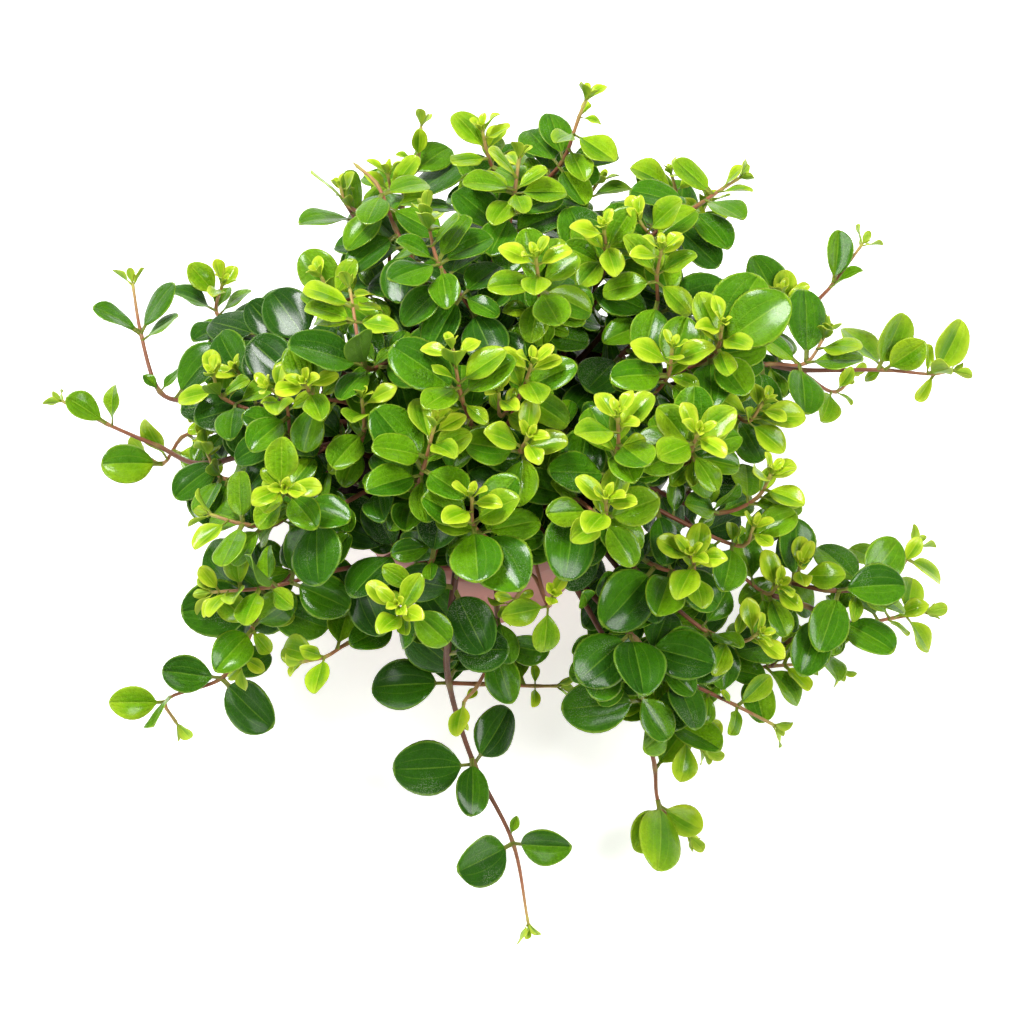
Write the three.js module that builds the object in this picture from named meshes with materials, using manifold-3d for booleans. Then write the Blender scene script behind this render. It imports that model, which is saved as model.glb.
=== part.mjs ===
// A trailing peperomia in a round nursery pot: long reddish stems that rise
// from the soil, arch over the rim and carry thick oval leaves in whorls.
// Millimetres, +Z up, origin at the centre of the pot's underside, front at -Y.

import * as THREE from "three";
import { mergeVertices } from "three/addons/utils/BufferGeometryUtils.js";
import Module from "manifold-3d";

const wasm = await Module();
wasm.setup();

// The pot: a 12 cm nursery pot with a stepped band under its rim
const POT = {
  height: 91,
  rimRadius: 60,
  bandHeight: 10,
  bandStep: 1.6,
  baseRadius: 42,
  wall: 1.4,
  floor: 2,
  footLift: 1.6,
  footWidth: 5,
  sides: 32,
  drainHoles: 6,
  drainRadius: 3.4,
  drainCircle: 25,
};

// The soil, with a slightly heaped top and one plain hole for each stem
const SOIL = {
  top: 80,
  heap: 2.2,
  holeDepth: 7,
  toe: 1.5,
  collar: 4,
  clearance: 0.3,
  footReach: 46,
  footSpacing: 5.4,
  drift: 3.2,
  driftTurn: 2.4,
  driftRounds: 60,
  footShare: 0.36,
  footInner: 4,
  sides: 16,
};

// The leafy dome: how high the shoot tips stand over each place
const CANOPY = { x: 6, top: 160, fall: 88, radius: 125, power: 2.4, lowest: 6 };

// The viewing ray of each pixel: the shoots are placed where they are seen
const VIEW = { elevation: 65, distance: 1050, frame: 1024, width: 399, x: 11.3, height: 13.5 };

// Stems: half-diagonal of the four-angled section near the tip and at the foot
const STEM = {
  tipRadius: 0.85,
  footRadius: 1.6,
  taper: 130,
  step: 17,
  longest: 60,
  gap: 0.4,
  bud: 2.5,
  sunk: 0.3,
  rimZone: 6,
  rimGap: 1.5,
  floorGap: 1,
  overRim: 9,
  highest: 16,
  swing: 0.3,
  slip: 1.8,
  tries: 200,
};

// Leaves: length by distance from the shoot's tip, blade share and thickness
const LEAF = {
  tipLength: 8,
  fullLength: 27,
  longest: 30,
  growth: 34,
  petiole: 0.16,
  thickness: 1.2,
  clearance: 1.5,
  rim: 0.45,
  tries: 26,
  rounds: 30,
  middle: 0.58,
  leans: [40, 26, 8, 0],
  upward: 0.6,
  tipOpening: 38,
  large: 19,
  small: 11.5,
  tierStep: 2.8,
  tierAngle: 68,
  nodeHalf: 0.9,
  stalkHalf: 0.8,
  closest: 0.84,
  rootZone: 3.4,
};

// Rule for the whorls that carry on below the ones seen from above
const WHORL = { spacing: 17, leaves: 3, turn: 60, reach: 104, lowest: 6, most: 3 };

// Stretch of the pot's front wall that is seen between the leaves
const WINDOW = { x: 503, y: 592, halfWidth: 62, halfHeight: 26 };

const whorl = (at, ...leaves) => ({ at, leaves });
const bend = (at) => ({ at, leaves: [] });
const shoot = (name, options, ...stations) => ({ name, ...options, stations });

// Shoots, each from its tip back towards the pot. Places are pixels: at is where
// a whorl springs from its stem, and the rest are the middles of its leaves.
// A height is in millimetres, and lift is how far a shoot stands over the dome.
const SHOOTS = [
  shoot("left_high", { tip: [133, 286], heights: [72, 68, 68, 76, 92] },
    whorl([141, 334], [115, 316], [157, 303], [161, 319]),
    whorl([160, 392], [150, 382], [173, 377]),
    bend([188, 402]),
    bend([245, 408])),
  shoot("left_far", { tip: [64, 402], heights: [50, 52, 62, 76] },
    whorl([107, 424], [84, 408], [107, 400]),
    bend([158, 446]),
    bend([205, 464])),
  shoot("left_upper", { tip: [222, 286], lift: -2 },
    whorl([216, 311], [190, 297], [215, 286], [233, 296]),
    whorl([285, 343], [263, 318], [300, 320], [268, 352])),
  shoot("left_dark", { tip: [238, 372], lift: -10 },
    whorl([249, 386], [224, 347], [262, 368], [206, 374])),
  shoot("left_middle", { tip: [214, 377], lift: 0 },
    whorl([222, 397], [198, 390], [238, 386], [226, 382])),
  shoot("left_lower", { tip: [206, 412], lift: -8 },
    whorl([213, 421], [197, 425], [222, 410]),
    whorl([250, 412], [232, 436], [262, 400], [228, 404])),
  shoot("left_low", { tip: [149, 458], heights: [46, 49, 58, 72], joins: "left_lower" },
    whorl([163, 464], [128, 461], [146, 441]),
    bend([182, 437]),
    bend([214, 430])),
  shoot("left_low_dark", { tip: [206, 450], lift: -18 },
    whorl([222, 478], [204, 462], [208, 498], [248, 468])),
  shoot("left_inner", { tip: [272, 390], lift: 2 },
    whorl([286, 404], [286, 375], [303, 394], [272, 402]),
    whorl([297, 460], [286, 433], [310, 450], [300, 480])),
  shoot("left_inner_high", { tip: [306, 384], lift: 5 },
    whorl([313, 396], [314, 366], [326, 385]),
    whorl([352, 404], [358, 420], [330, 436])),
  shoot("left_front", { tip: [212, 515] },
    whorl([243, 524], [239, 494], [264, 516], [230, 547]),
    whorl([276, 524], [258, 544], [298, 536])),
  shoot("left_front_inner", { tip: [284, 488], lift: 3 },
    whorl([283, 490], [271, 478], [272, 503], [297, 507]),
    whorl([318, 512], [322, 488], [316, 552])),
  shoot("lower_left", { tip: [214, 592], lift: 3 },
    whorl([270, 587], [266, 559], [282, 598], [236, 574]),
    bend([320, 574]),
    whorl([398, 552], [382, 517], [352, 529], [367, 584])),
  shoot("lower_left_low", { tip: [241, 664], lift: -8 },
    whorl([252, 630], [233, 650], [262, 642]),
    whorl([264, 602], [216, 608], [298, 618], [208, 562])),
  shoot("lower_left_trail", { tip: [176, 722], heights: [22, 26, 34, 50], joins: "lower_left_low" },
    whorl([165, 702], [135, 703], [147, 726], [172, 716]),
    whorl([222, 678], [187, 674], [248, 707], [250, 660]),
    bend([246, 640])),
  shoot("front_left", { tip: [303, 662], lift: -8 },
    whorl([325, 657], [306, 655], [318, 676]),
    bend([348, 643]),
    whorl([398, 622], [367, 642], [436, 648], [384, 679])),
  shoot("front_left_inner", { tip: [398, 606], lift: 4 },
    whorl([403, 614], [411, 594], [390, 603], [404, 627]),
    whorl([432, 560], [428, 580], [446, 520])),
  shoot("front_trailer", { tip: [528, 922], heights: [8, 16, 28, 62, 88] },
    whorl([513, 843], [482, 860], [544, 847], [516, 835]),
    whorl([474, 764], [428, 769], [497, 732], [476, 795]),
    bend([449, 683]),
    bend([448, 640])),
  shoot("front_side", { tip: [556, 686], heights: [60, 62, 62], joins: "front_trailer" },
    whorl([535, 686], [535, 676], [535, 697]),
    bend([480, 684])),
  shoot("front_middle", { tip: [463, 716], heights: [58, 60, 66, 74, 90] },
    whorl([464, 702], [459, 720], [470, 692]),
    bend([476, 688]),
    whorl([495, 648], [503, 679], [478, 622], [526, 655]),
    bend([497, 606])),
  shoot("front_right_dark", { tip: [552, 596], lift: -20 },
    whorl([548, 606], [524, 612], [564, 631])),
  shoot("front_bud", { tip: [510, 604], heights: [96, 98, 102], joins: "front_right_dark" },
    whorl([516, 599], [504, 597], [525, 592]),
    bend([531, 574])),
  shoot("top_left", { tip: [341, 190], heights: [112, 110, 112, 112] },
    whorl([346, 204], [321, 182], [352, 182], [334, 193]),
    bend([374, 220]),
    whorl([404, 246], [361, 241], [382, 223], [396, 268])),
  shoot("top_left_dark", { tip: [352, 205], heights: [98, 96], joins: "top_left" },
    whorl([356, 220], [324, 218], [352, 190])),
  shoot("top_left_cut", { tip: [357, 166], heights: [134, 132, 130, 124], bare: true },
    bend([376, 183]),
    bend([395, 228]),
    bend([422, 280])),
  shoot("top_left_pale", { tip: [388, 176], heights: [126, 120, 112] },
    whorl([391, 193], [405, 171], [377, 180]),
    bend([390, 225])),
  shoot("top_dark", { tip: [421, 128], heights: [112, 108, 100] },
    whorl([418, 158], [420, 138], [408, 150]),
    whorl([402, 206], [437, 178], [430, 202])),
  shoot("top_middle_low", { tip: [427, 214], lift: 8 },
    whorl([438, 262], [453, 234], [415, 248], [440, 281]),
    whorl([478, 322], [452, 300], [496, 296], [456, 340])),
  shoot("top", { tip: [483, 133], heights: [128, 122, 108] },
    whorl([487, 152], [470, 124], [491, 125], [465, 153]),
    whorl([500, 196], [478, 172], [512, 152])),
  shoot("top_middle", { tip: [519, 160], heights: [138, 132, 120] },
    whorl([515, 190], [487, 182], [503, 204], [533, 176]),
    whorl([508, 236], [543, 218], [478, 208], [508, 254], [482, 241])),
  shoot("top_back", { tip: [585, 102], heights: [138, 134, 124, 112] },
    whorl([579, 117], [583, 103], [594, 112]),
    whorl([563, 161], [556, 131], [595, 156], [579, 182]),
    bend([537, 193])),
  shoot("top_right_dark", { tip: [598, 182], heights: [100, 96] },
    whorl([588, 198], [612, 186], [570, 214])),
  shoot("back_middle", { tip: [536, 260], lift: 8 },
    whorl([539, 285], [532, 252], [561, 264], [511, 284]),
    whorl([538, 306], [541, 328], [570, 300])),
  shoot("back_left", { tip: [350, 290], lift: 0 },
    whorl([366, 367], [355, 327], [322, 352], [380, 356], [348, 382]),
    whorl([392, 364], [400, 344], [430, 340])),
  shoot("back_left_low", { tip: [322, 278], lift: -6 },
    whorl([334, 300], [345, 276], [312, 268], [300, 296]),
    whorl([384, 296], [372, 270], [396, 318])),
  shoot("back_right", { tip: [604, 230], lift: 4 },
    whorl([606, 252], [622, 226], [592, 236]),
    whorl([602, 276], [583, 232], [618, 268])),
  shoot("back_right_high", { tip: [738, 179], heights: [118, 116, 122, 124] },
    whorl([722, 189], [736, 175], [742, 187]),
    bend([700, 204]),
    bend([648, 240])),
  shoot("back_right_outer", { tip: [706, 204], heights: [112, 108, 104] },
    whorl([697, 222], [692, 205], [716, 214]),
    whorl([676, 238], [682, 203], [701, 243], [660, 212])),
  shoot("back_right_far", { tip: [672, 176], heights: [116, 112, 106], joins: "back_right_outer" },
    whorl([676, 192], [652, 174], [688, 181]),
    bend([676, 214])),
  shoot("back_right_low", { tip: [640, 222], lift: 0 },
    whorl([652, 246], [626, 222], [630, 242], [664, 228])),
  shoot("back_right_inner", { tip: [661, 252], lift: 8 },
    whorl([657, 275], [641, 251], [679, 262]),
    whorl([655, 316], [622, 298], [628, 326], [698, 294])),
  shoot("right_upper", { tip: [783, 296], lift: 4 },
    whorl([785, 320], [769, 280], [797, 290]),
    whorl([766, 342], [752, 328], [748, 360])),
  shoot("right_up", { tip: [826, 334], heights: [92, 88, 92] },
    whorl([806, 363], [808, 312], [783, 343], [838, 358], [812, 389]),
    bend([770, 364])),
  shoot("right_up_tip", { tip: [861, 246], heights: [80, 80, 84], joins: "right_up" },
    whorl([833, 284], [838, 253], [852, 272]),
    bend([812, 310])),
  shoot("right_far", { tip: [950, 371], heights: [62, 64, 68, 80, 94] },
    whorl([934, 374], [953, 345], [936, 357], [932, 390], [956, 383]),
    whorl([884, 370], [862, 343], [907, 338], [868, 377], [920, 365]),
    bend([800, 370]),
    bend([745, 364])),
  shoot("right_small", { tip: [852, 378], heights: [66, 68, 78], joins: "right_far" },
    whorl([836, 392], [846, 378], [846, 397], [832, 409]),
    bend([812, 380])),
  shoot("right_back_cluster", { tip: [722, 326], lift: 8 },
    whorl([718, 348], [709, 322], [742, 304], [762, 314], [725, 363]),
    whorl([702, 362], [742, 356], [690, 340])),
  shoot("right_cluster", { tip: [762, 404], lift: -2 },
    whorl([748, 422], [768, 409], [777, 427]),
    whorl([720, 404], [722, 418], [744, 386])),
  shoot("right_middle", { tip: [698, 434], lift: 10 },
    whorl([692, 448], [673, 424], [694, 410], [712, 433], [664, 457]),
    whorl([688, 464], [706, 466], [678, 474], [724, 452])),
  shoot("right_edge", { tip: [770, 476], lift: 2 },
    whorl([758, 497], [767, 478], [785, 492]),
    whorl([718, 513], [707, 520], [753, 519], [744, 490])),
  shoot("right_low_inner", { tip: [753, 528], lift: 0 },
    whorl([743, 546], [752, 526], [763, 540])),
  shoot("right_low", { tip: [800, 566], lift: 0 },
    whorl([793, 583], [797, 546], [838, 569], [828, 610]),
    whorl([758, 558], [766, 570], [736, 566])),
  shoot("right_low_far", { tip: [914, 547], heights: [58, 60, 66, 74], joins: "right_low" },
    whorl([903, 564], [913, 549], [895, 547]),
    whorl([862, 588], [884, 560], [888, 599], [862, 606]),
    bend([826, 590])),
  shoot("right_low_bud", { tip: [777, 586], lift: -6 },
    whorl([768, 594], [785, 612], [778, 584], [801, 618]),
    bend([735, 570])),
  shoot("right_low_end", { tip: [922, 613], heights: [42, 44, 54, 70], joins: "right_low_bud" },
    whorl([893, 618], [912, 609], [906, 626]),
    whorl([851, 624], [868, 635], [838, 606], [832, 640]),
    bend([806, 606])),
  shoot("front_right_outer", { tip: [800, 664], lift: -12 },
    whorl([772, 666], [796, 656], [806, 672]),
    whorl([716, 668], [745, 671], [706, 690])),
  shoot("right_low_under", { tip: [836, 668], heights: [34, 38, 52], joins: "front_right_outer" },
    whorl([815, 645], [830, 663], [846, 653]),
    bend([790, 640])),
  shoot("front_right_middle", { tip: [757, 634], lift: 3 },
    whorl([744, 641], [761, 630], [748, 626]),
    whorl([708, 632], [693, 620], [724, 609], [731, 651])),
  shoot("front_right_upper", { tip: [692, 556], lift: 5 },
    whorl([692, 572], [687, 552], [704, 556], [699, 590]),
    whorl([655, 566], [624, 604], [618, 549], [676, 588])),
  shoot("front_right_low", { tip: [772, 724], heights: [46, 50, 66, 88] },
    whorl([737, 706], [757, 690], [735, 722], [732, 700]),
    whorl([670, 672], [634, 676], [688, 702], [686, 651], [708, 664]),
    bend([636, 640])),
  shoot("front_right_under", { tip: [700, 748], heights: [38, 46, 66, 84] },
    whorl([668, 722], [698, 734], [654, 744], [676, 704]),
    whorl([644, 700], [594, 706], [588, 672]),
    bend([612, 650])),
  shoot("front_right_trailer", { tip: [686, 834], heights: [12, 18, 34, 52], joins: "front_right_under" },
    whorl([660, 806], [650, 830], [664, 842], [684, 817]),
    bend([655, 768]),
    bend([650, 730])),
  shoot("centre", { tip: [453, 350], lift: 6 },
    whorl([461, 396], [424, 362], [489, 372], [446, 390]),
    bend([470, 420])),
  shoot("centre_back", { tip: [531, 366], lift: -6 },
    whorl([522, 392], [551, 374], [536, 378], [512, 366]),
    whorl([508, 424], [534, 411], [562, 414])),
  shoot("centre_bud", { tip: [499, 394], lift: -8, joins: "centre_back" },
    whorl([501, 416], [496, 402], [505, 404])),
  shoot("centre_left", { tip: [434, 428], lift: 8 },
    whorl([423, 470], [398, 433], [436, 434], [392, 477], [447, 484]),
    whorl([412, 500], [440, 512], [404, 530])),
  shoot("centre_front", { tip: [472, 498], lift: 9 },
    whorl([474, 526], [446, 508], [498, 497], [476, 556], [502, 562]),
    whorl([500, 546], [532, 548], [526, 520])),
  shoot("centre_right_back", { tip: [672, 350], lift: 5 },
    whorl([668, 376], [637, 374], [685, 381], [679, 340]),
    whorl([645, 400], [616, 394], [636, 344], [656, 420])),
  shoot("centre_right", { tip: [618, 418], lift: 6 },
    whorl([618, 448], [620, 424], [634, 438], [606, 436]),
    whorl([610, 476], [640, 470], [632, 500])),
  shoot("centre_low", { tip: [606, 500], lift: 9 },
    whorl([604, 520], [600, 500], [634, 507]),
    whorl([574, 498], [540, 487], [585, 456], [572, 542])),
  shoot("centre_dark", { tip: [528, 438], lift: -12 },
    whorl([520, 452], [488, 446], [532, 440]),
    whorl([560, 436], [566, 414], [590, 400])),
  shoot("centre_far_left", { tip: [362, 400], lift: -10, joins: "left_front_inner" },
    whorl([364, 432], [346, 450], [366, 386]),
    whorl([350, 480], [334, 506], [366, 500])),
];

// Repeatable draw between 0 and 1 for item a, use b
function draw(a, b) {
  const wave = Math.sin(a * 12.9898 + b * 78.233 + 4.137) * 43758.5453;
  return wave - Math.floor(wave);
}

const degrees = Math.PI / 180;
const mix = (a, b, share) => a + (b - a) * share;
const clamp = (value, low, high) => Math.min(high, Math.max(low, value));
const ease = (value) => clamp(value, 0, 1) ** 2 * (3 - 2 * clamp(value, 0, 1));

// Point at a given height on the ray of a pixel
function onRay(pixel, height) {
  const rise = VIEW.elevation * degrees;
  const scale = VIEW.width / VIEW.frame;
  const across = (pixel[0] - VIEW.frame / 2) * scale;
  const up = (VIEW.frame / 2 - pixel[1]) * scale;
  const eye = new THREE.Vector3(VIEW.x, -Math.cos(rise) * VIEW.distance,
    VIEW.height + Math.sin(rise) * VIEW.distance);
  const ray = new THREE.Vector3(VIEW.x + across, up * Math.sin(rise),
    VIEW.height + up * Math.cos(rise)).sub(eye);
  return eye.add(ray.multiplyScalar((height - eye.z) / ray.z));
}

// Pixel at which a point is seen
function pixelOf(point) {
  const rise = VIEW.elevation * degrees;
  const scale = VIEW.width / VIEW.frame;
  const y = point.y;
  const z = point.z - VIEW.height;
  const depth = VIEW.distance - (z * Math.sin(rise) - y * Math.cos(rise));
  const up = (y * Math.sin(rise) + z * Math.cos(rise)) * VIEW.distance / depth;
  const across = (point.x - VIEW.x) * VIEW.distance / depth;
  return [VIEW.frame / 2 + across / scale, VIEW.frame / 2 - up / scale];
}

// Height of the dome over a place
function domeHeight(x, y) {
  const out = Math.hypot(x - CANOPY.x, y) / CANOPY.radius;
  return CANOPY.top - CANOPY.fall * out ** CANOPY.power;
}

// Point of a pixel's ray that lies a given depth under the dome
function underDome(pixel, depth) {
  let low = CANOPY.lowest;
  let high = CANOPY.top + 30;
  for (let i = 0; i < 30; i += 1) {
    const middle = (low + high) / 2;
    const point = onRay(pixel, middle);
    if (domeHeight(point.x, point.y) - depth > middle) low = middle;
    else high = middle;
  }
  return onRay(pixel, low);
}

// Outer radius of the pot's tapered wall, without its band
function potRadius(z) {
  return mix(POT.baseRadius, POT.rimRadius - POT.bandStep, clamp(z / POT.height, 0, 1));
}

// Distance of a point along the stem from its tip, for each point of a polyline
function distancesFromTip(points) {
  const far = points.map(() => 0);
  for (let i = points.length - 2; i >= 0; i -= 1) {
    far[i] = far[i + 1] + points[i].distanceTo(points[i + 1]);
  }
  return far;
}

// Depth under the dome of a shoot's tip and of the stations behind it
const STATION_DEPTHS = [0, 11, 28, 44, 56];

// Where a shoot's stations lie: on the rays of their pixels, moved along them
// by an attempt to clear a neighbour
function placeStations(entry, attempt) {
  const shift = ((attempt * 7 + 5) % 11 - 5) * STEM.slip;
  return [{ at: entry.tip, leaves: [] }, ...entry.stations].map((station, i) => {
    const point = entry.heights
      ? onRay(station.at, entry.heights[i] + shift * 0.6)
      : underDome(station.at, STATION_DEPTHS[i] - (entry.lift ?? 0) - shift);
    return { point, leaves: station.leaves };
  });
}

// Control points of a stem, from its foot in the soil to its tip
function layStem(entry, index, attempt, parent) {
  const stations = placeStations(entry, attempt).reverse();
  const inner = stations[0].point;
  if (parent) {
    const joint = nearestVertex(parent, inner);
    return traceStem(entry, index, [], [parent.points[joint].clone()], stations);
  }
  const out = Math.hypot(inner.x, inner.y);
  const angle = Math.atan2(inner.y, inner.x);
  const radius = clamp(out * SOIL.footShare + SOIL.footInner, 0, SOIL.footReach);
  const drift = SOIL.drift * Math.sqrt(attempt % SOIL.driftRounds);
  const { x, y } = new THREE.Vector2(
    Math.cos(angle) * radius + Math.cos(attempt * SOIL.driftTurn) * drift,
    Math.sin(angle) * radius + Math.sin(attempt * SOIL.driftTurn) * drift,
  ).clampLength(2, SOIL.footReach);
  const foot = new THREE.Vector3(x, y, SOIL.top - SOIL.holeDepth + SOIL.clearance);
  const collar = new THREE.Vector3(x, y, SOIL.top + SOIL.collar);
  const opening = [collar];
  if (out > POT.rimRadius - STEM.rimZone) {
    const over = POT.rimRadius - STEM.overRim;
    const swing = attempt === 0 ? 0 : mix(-STEM.swing, STEM.swing, draw(index, 300 + attempt));
    const toward = Math.atan2(inner.y - y * 0.3, inner.x - x * 0.3) + swing;
    const lowest = POT.height + STEM.overRim + STEM.highest * draw(index, 3 + attempt);
    const height = Math.max(lowest, mix(POT.height, inner.z, 0.7));
    opening.push(new THREE.Vector3(Math.cos(toward) * over, Math.sin(toward) * over, height));
  }
  return traceStem(entry, index, [foot], opening, stations);
}

// Vertex of a stem that lies nearest to a place, short of its tip
function nearestVertex(stem, place) {
  let best = 2;
  for (let i = 3; i < stem.points.length - 2; i += 1) {
    if (stem.points[i].distanceTo(place) < stem.points[best].distanceTo(place)) best = i;
  }
  return best;
}

// Steps a smooth stem through its opening points and its stations
function traceStem(entry, index, start, opening, stations) {
  const route = [...opening, ...stations.map((station) => station.point)];
  const curve = new THREE.CatmullRomCurve3(route, false, "centripetal");
  const points = [...start];
  const nodes = [];
  const spans = route.length - 1;
  const firstStation = route.length - stations.length;
  for (let i = 0; i <= spans; i += 1) {
    if (i >= firstStation) nodes.push({ vertex: points.length, leaves: stations[i - firstStation].leaves });
    if (i === spans) points.push(route[i].clone());
    else {
      const steps = Math.max(1, Math.floor(route[i].distanceTo(route[i + 1]) / STEM.step));
      for (let j = 0; j < steps; j += 1) points.push(curve.getPoint((i + j / steps) / spans));
    }
  }
  const end = points[points.length - 1];
  points.push(end.clone().addScaledVector(end.clone().sub(points[points.length - 2]).normalize(), STEM.bud));
  const far = distancesFromTip(points);
  const radii = far.map((d) => mix(STEM.tipRadius, STEM.footRadius, clamp(d / STEM.taper, 0, 1)));
  const family = entry.joins ?? entry.name;
  return { entry, index, family, foot: points[0], points, nodes, far, radii };
}

// Shortest distance between two short straight stretches, by halving
function segmentGap(a, b, c, d) {
  const u = b.clone().sub(a);
  const v = d.clone().sub(c);
  const w = a.clone().sub(c);
  const uu = u.dot(u);
  const uv = u.dot(v);
  const vv = v.dot(v);
  const uw = u.dot(w);
  const vw = v.dot(w);
  const spread = uu * vv - uv * uv;
  let s = spread < 1e-9 ? 0 : clamp((uv * vw - vv * uw) / spread, 0, 1);
  const t = clamp((uv * s + vw) / vv, 0, 1);
  s = clamp((uv * t - uw) / uu, 0, 1);
  return a.clone().addScaledVector(u, s).distanceTo(c.clone().addScaledVector(v, t));
}

// Whether a stem clears the pot's rim and every stem laid before it
function stemIsClear(stem, laid) {
  const { points, radii } = stem;
  for (let i = 2; i < points.length; i += 1) {
    const out = Math.hypot(points[i].x, points[i].y);
    const low = points[i].z - radii[i];
    const overRim = out > SOIL.footReach + STEM.rimZone && out < POT.rimRadius + radii[i] + STEM.rimGap;
    if (low < STEM.floorGap || (overRim && low < POT.height + STEM.rimGap)) return false;
  }
  return laid.every((other) => {
    const parent = other.entry.name === stem.entry.joins;
    if (!stem.entry.joins && stem.foot.distanceTo(other.foot) < SOIL.footSpacing) return false;
    for (let i = parent ? 2 : 0; i < points.length - 1; i += 1) {
      for (let j = 0; j < other.points.length - 1; j += 1) {
        const need = radii[i] + other.radii[j] + STEM.gap;
        if (points[i].distanceTo(other.points[j]) > need + STEM.longest) continue;
        const gap = segmentGap(points[i], points[i + 1], other.points[j], other.points[j + 1]);
        if (gap < need) return false;
      }
    }
    return true;
  });
}

// Whether a stem bends so sharply that its skin crosses itself
function crossesItself(stem) {
  const faces = facesOf(shootSkin(stem, []));
  return faces.some((a, i) => faces.slice(i + 1).some((b) => facesCross(a, b)));
}

// A leaf's direction, held as a compass angle and a tilt over the level
function leafFrom(stem, vertex, direction, reach, facing, id, kind) {
  const azimuth = Math.atan2(direction.y, direction.x);
  const tilt = Math.asin(clamp(direction.z / direction.length(), -1, 1));
  const root = stem.points[vertex];
  return { stem: stem.index, family: stem.family, vertex, root, azimuth, tilt, reach, facing, id, kind };
}

// The nth way of holding a leaf: raised or lowered, then turned, then smaller
function holdLeaf(leaf, attempt) {
  const sign = attempt % 2 === 1 ? 1 : -1;
  const step = Math.ceil(attempt / 2);
  const tilt = leaf.tilt + sign * step * 7 * degrees;
  const azimuth = leaf.azimuth + (attempt > 6 ? sign * (step - 3) * 6 * degrees : 0);
  const reach = leaf.reach * (1 - 0.018 * attempt);
  const along = new THREE.Vector3(Math.cos(azimuth) * Math.cos(tilt),
    Math.sin(azimuth) * Math.cos(tilt), Math.sin(tilt));
  const up = leaf.facing.clone().addScaledVector(along, -along.dot(leaf.facing)).normalize();
  const side = up.clone().cross(along);
  const young = 1 - ease((reach - 9) / 16);
  return {
    ...leaf, along, up, side, reach,
    petiole: reach * LEAF.petiole,
    half: reach * (1 - LEAF.petiole) * mix(0.41, 0.3, young) * mix(0.92, 1.08, draw(leaf.id, 21)),
    bias: mix(0.94, 1.22, young),
    droop: mix(0.05, 0.2, draw(leaf.id, 22)) * mix(1, 0.7, young),
    fold: mix(0.12, 0.34, draw(leaf.id, 23)) * mix(1, 1.5, young),
  };
}

// Half-width of a leaf at a distance from its stem
function halfWidth(leaf, u) {
  const t = (u - leaf.petiole) / (leaf.reach - leaf.petiole);
  if (t <= 0) return LEAF.stalkHalf;
  if (t >= 1) return 0;
  const s = t ** leaf.bias;
  return Math.max(leaf.half * (4 * s * (1 - s)) ** 0.55, t < 0.1 ? LEAF.stalkHalf : 0);
}

// How far the blade bends off its flat plane
function bladeRise(leaf, u, v) {
  return leaf.fold * Math.abs(v) - leaf.droop * u * u / leaf.reach;
}

// Point of the blade, with u from the stem and v across, raised by lift
function bladePoint(leaf, u, v, lift = 0) {
  return leaf.root.clone()
    .addScaledVector(leaf.along, u)
    .addScaledVector(leaf.side, v)
    .addScaledVector(leaf.up, bladeRise(leaf, u, v) + lift);
}

// Straight stretches that stand for a leaf in the clearance test
function traceLeaf(leaf) {
  const at = (t, across) => {
    const u = mix(leaf.petiole, leaf.reach, t);
    return bladePoint(leaf, u, across * halfWidth(leaf, u));
  };
  const marks = [0.06, 0.25, 0.5, 0.75, 0.92];
  const root = bladePoint(leaf, leaf.petiole * 0.5, 0);
  const tip = bladePoint(leaf, leaf.reach, 0);
  const edge = (across) => [root, ...marks.map((t) => at(t, across)), tip];
  return [edge(-1), edge(-0.5), edge(0), edge(0.5), edge(1)];
}

// Whether a traced line passes through, or too near to, a leaf's blade
function lineMeetsLeaf(line, leaf, gap, margin, start) {
  let last = null;
  for (const point of line) {
    const off = point.clone().sub(leaf.root);
    const here = { u: off.dot(leaf.along), v: off.dot(leaf.side), w: off.dot(leaf.up) };
    here.h = here.w - bladeRise(leaf, clamp(here.u, 0, leaf.reach), here.v);
    const inside = (u, v) => u > start && u < leaf.reach + margin
      && Math.abs(v) < Math.max(halfWidth(leaf, Math.min(u, leaf.reach * 0.98)), 0.6) + margin;
    if (Math.abs(here.h) < gap && inside(here.u, here.v)) return true;
    if (last && last.h * here.h < 0) {
      const share = last.h / (last.h - here.h);
      if (inside(mix(last.u, here.u, share), mix(last.v, here.v, share))) return true;
    }
    last = here;
  }
  return false;
}

// Whether a leaf clears the pot, the soil and the surface under the pot
function clearsPot(leaf) {
  return leaf.traces.every((line) => line.every((p) => {
    const out = Math.hypot(p.x, p.y);
    if (p.z < 1.6) return false;
    if (p.z > POT.height + 1.4) return true;
    if (out > potRadius(p.z) + POT.bandStep + 1.4) return true;
    return out < potRadius(p.z) - POT.wall - 3 && p.z > SOIL.top + SOIL.heap + 1.5;
  }));
}

// Whether a leaf clears every stem, other than its own near its root
function clearsStems(leaf, stems) {
  return stems.every((stem) => {
    if (stem.reachBox.distanceToPoint(leaf.middle) > leaf.reach * 0.7) return true;
    const { points, radii } = stem;
    for (let i = 1; i < points.length - 1; i += 1) {
      if (points[i].distanceTo(leaf.middle) > leaf.reach + STEM.step) continue;
      const own = stem.family === leaf.family && Math.min(points[i].distanceTo(leaf.root),
        points[i + 1].distanceTo(leaf.root)) < LEAF.rootZone * 3;
      const gap = radii[i] + LEAF.thickness / 2 + (own ? 0 : 0.35);
      const line = [0, 0.25, 0.5, 0.75, 1].map((share) => points[i].clone().lerp(points[i + 1], share))
        .filter((point) => !own || point.distanceTo(leaf.root) > LEAF.rootZone);
      if (lineMeetsLeaf(line, leaf, gap, radii[i] + (own ? 0.1 : 0.5), 0.4 * leaf.petiole)) return false;
    }
    return true;
  });
}

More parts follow.
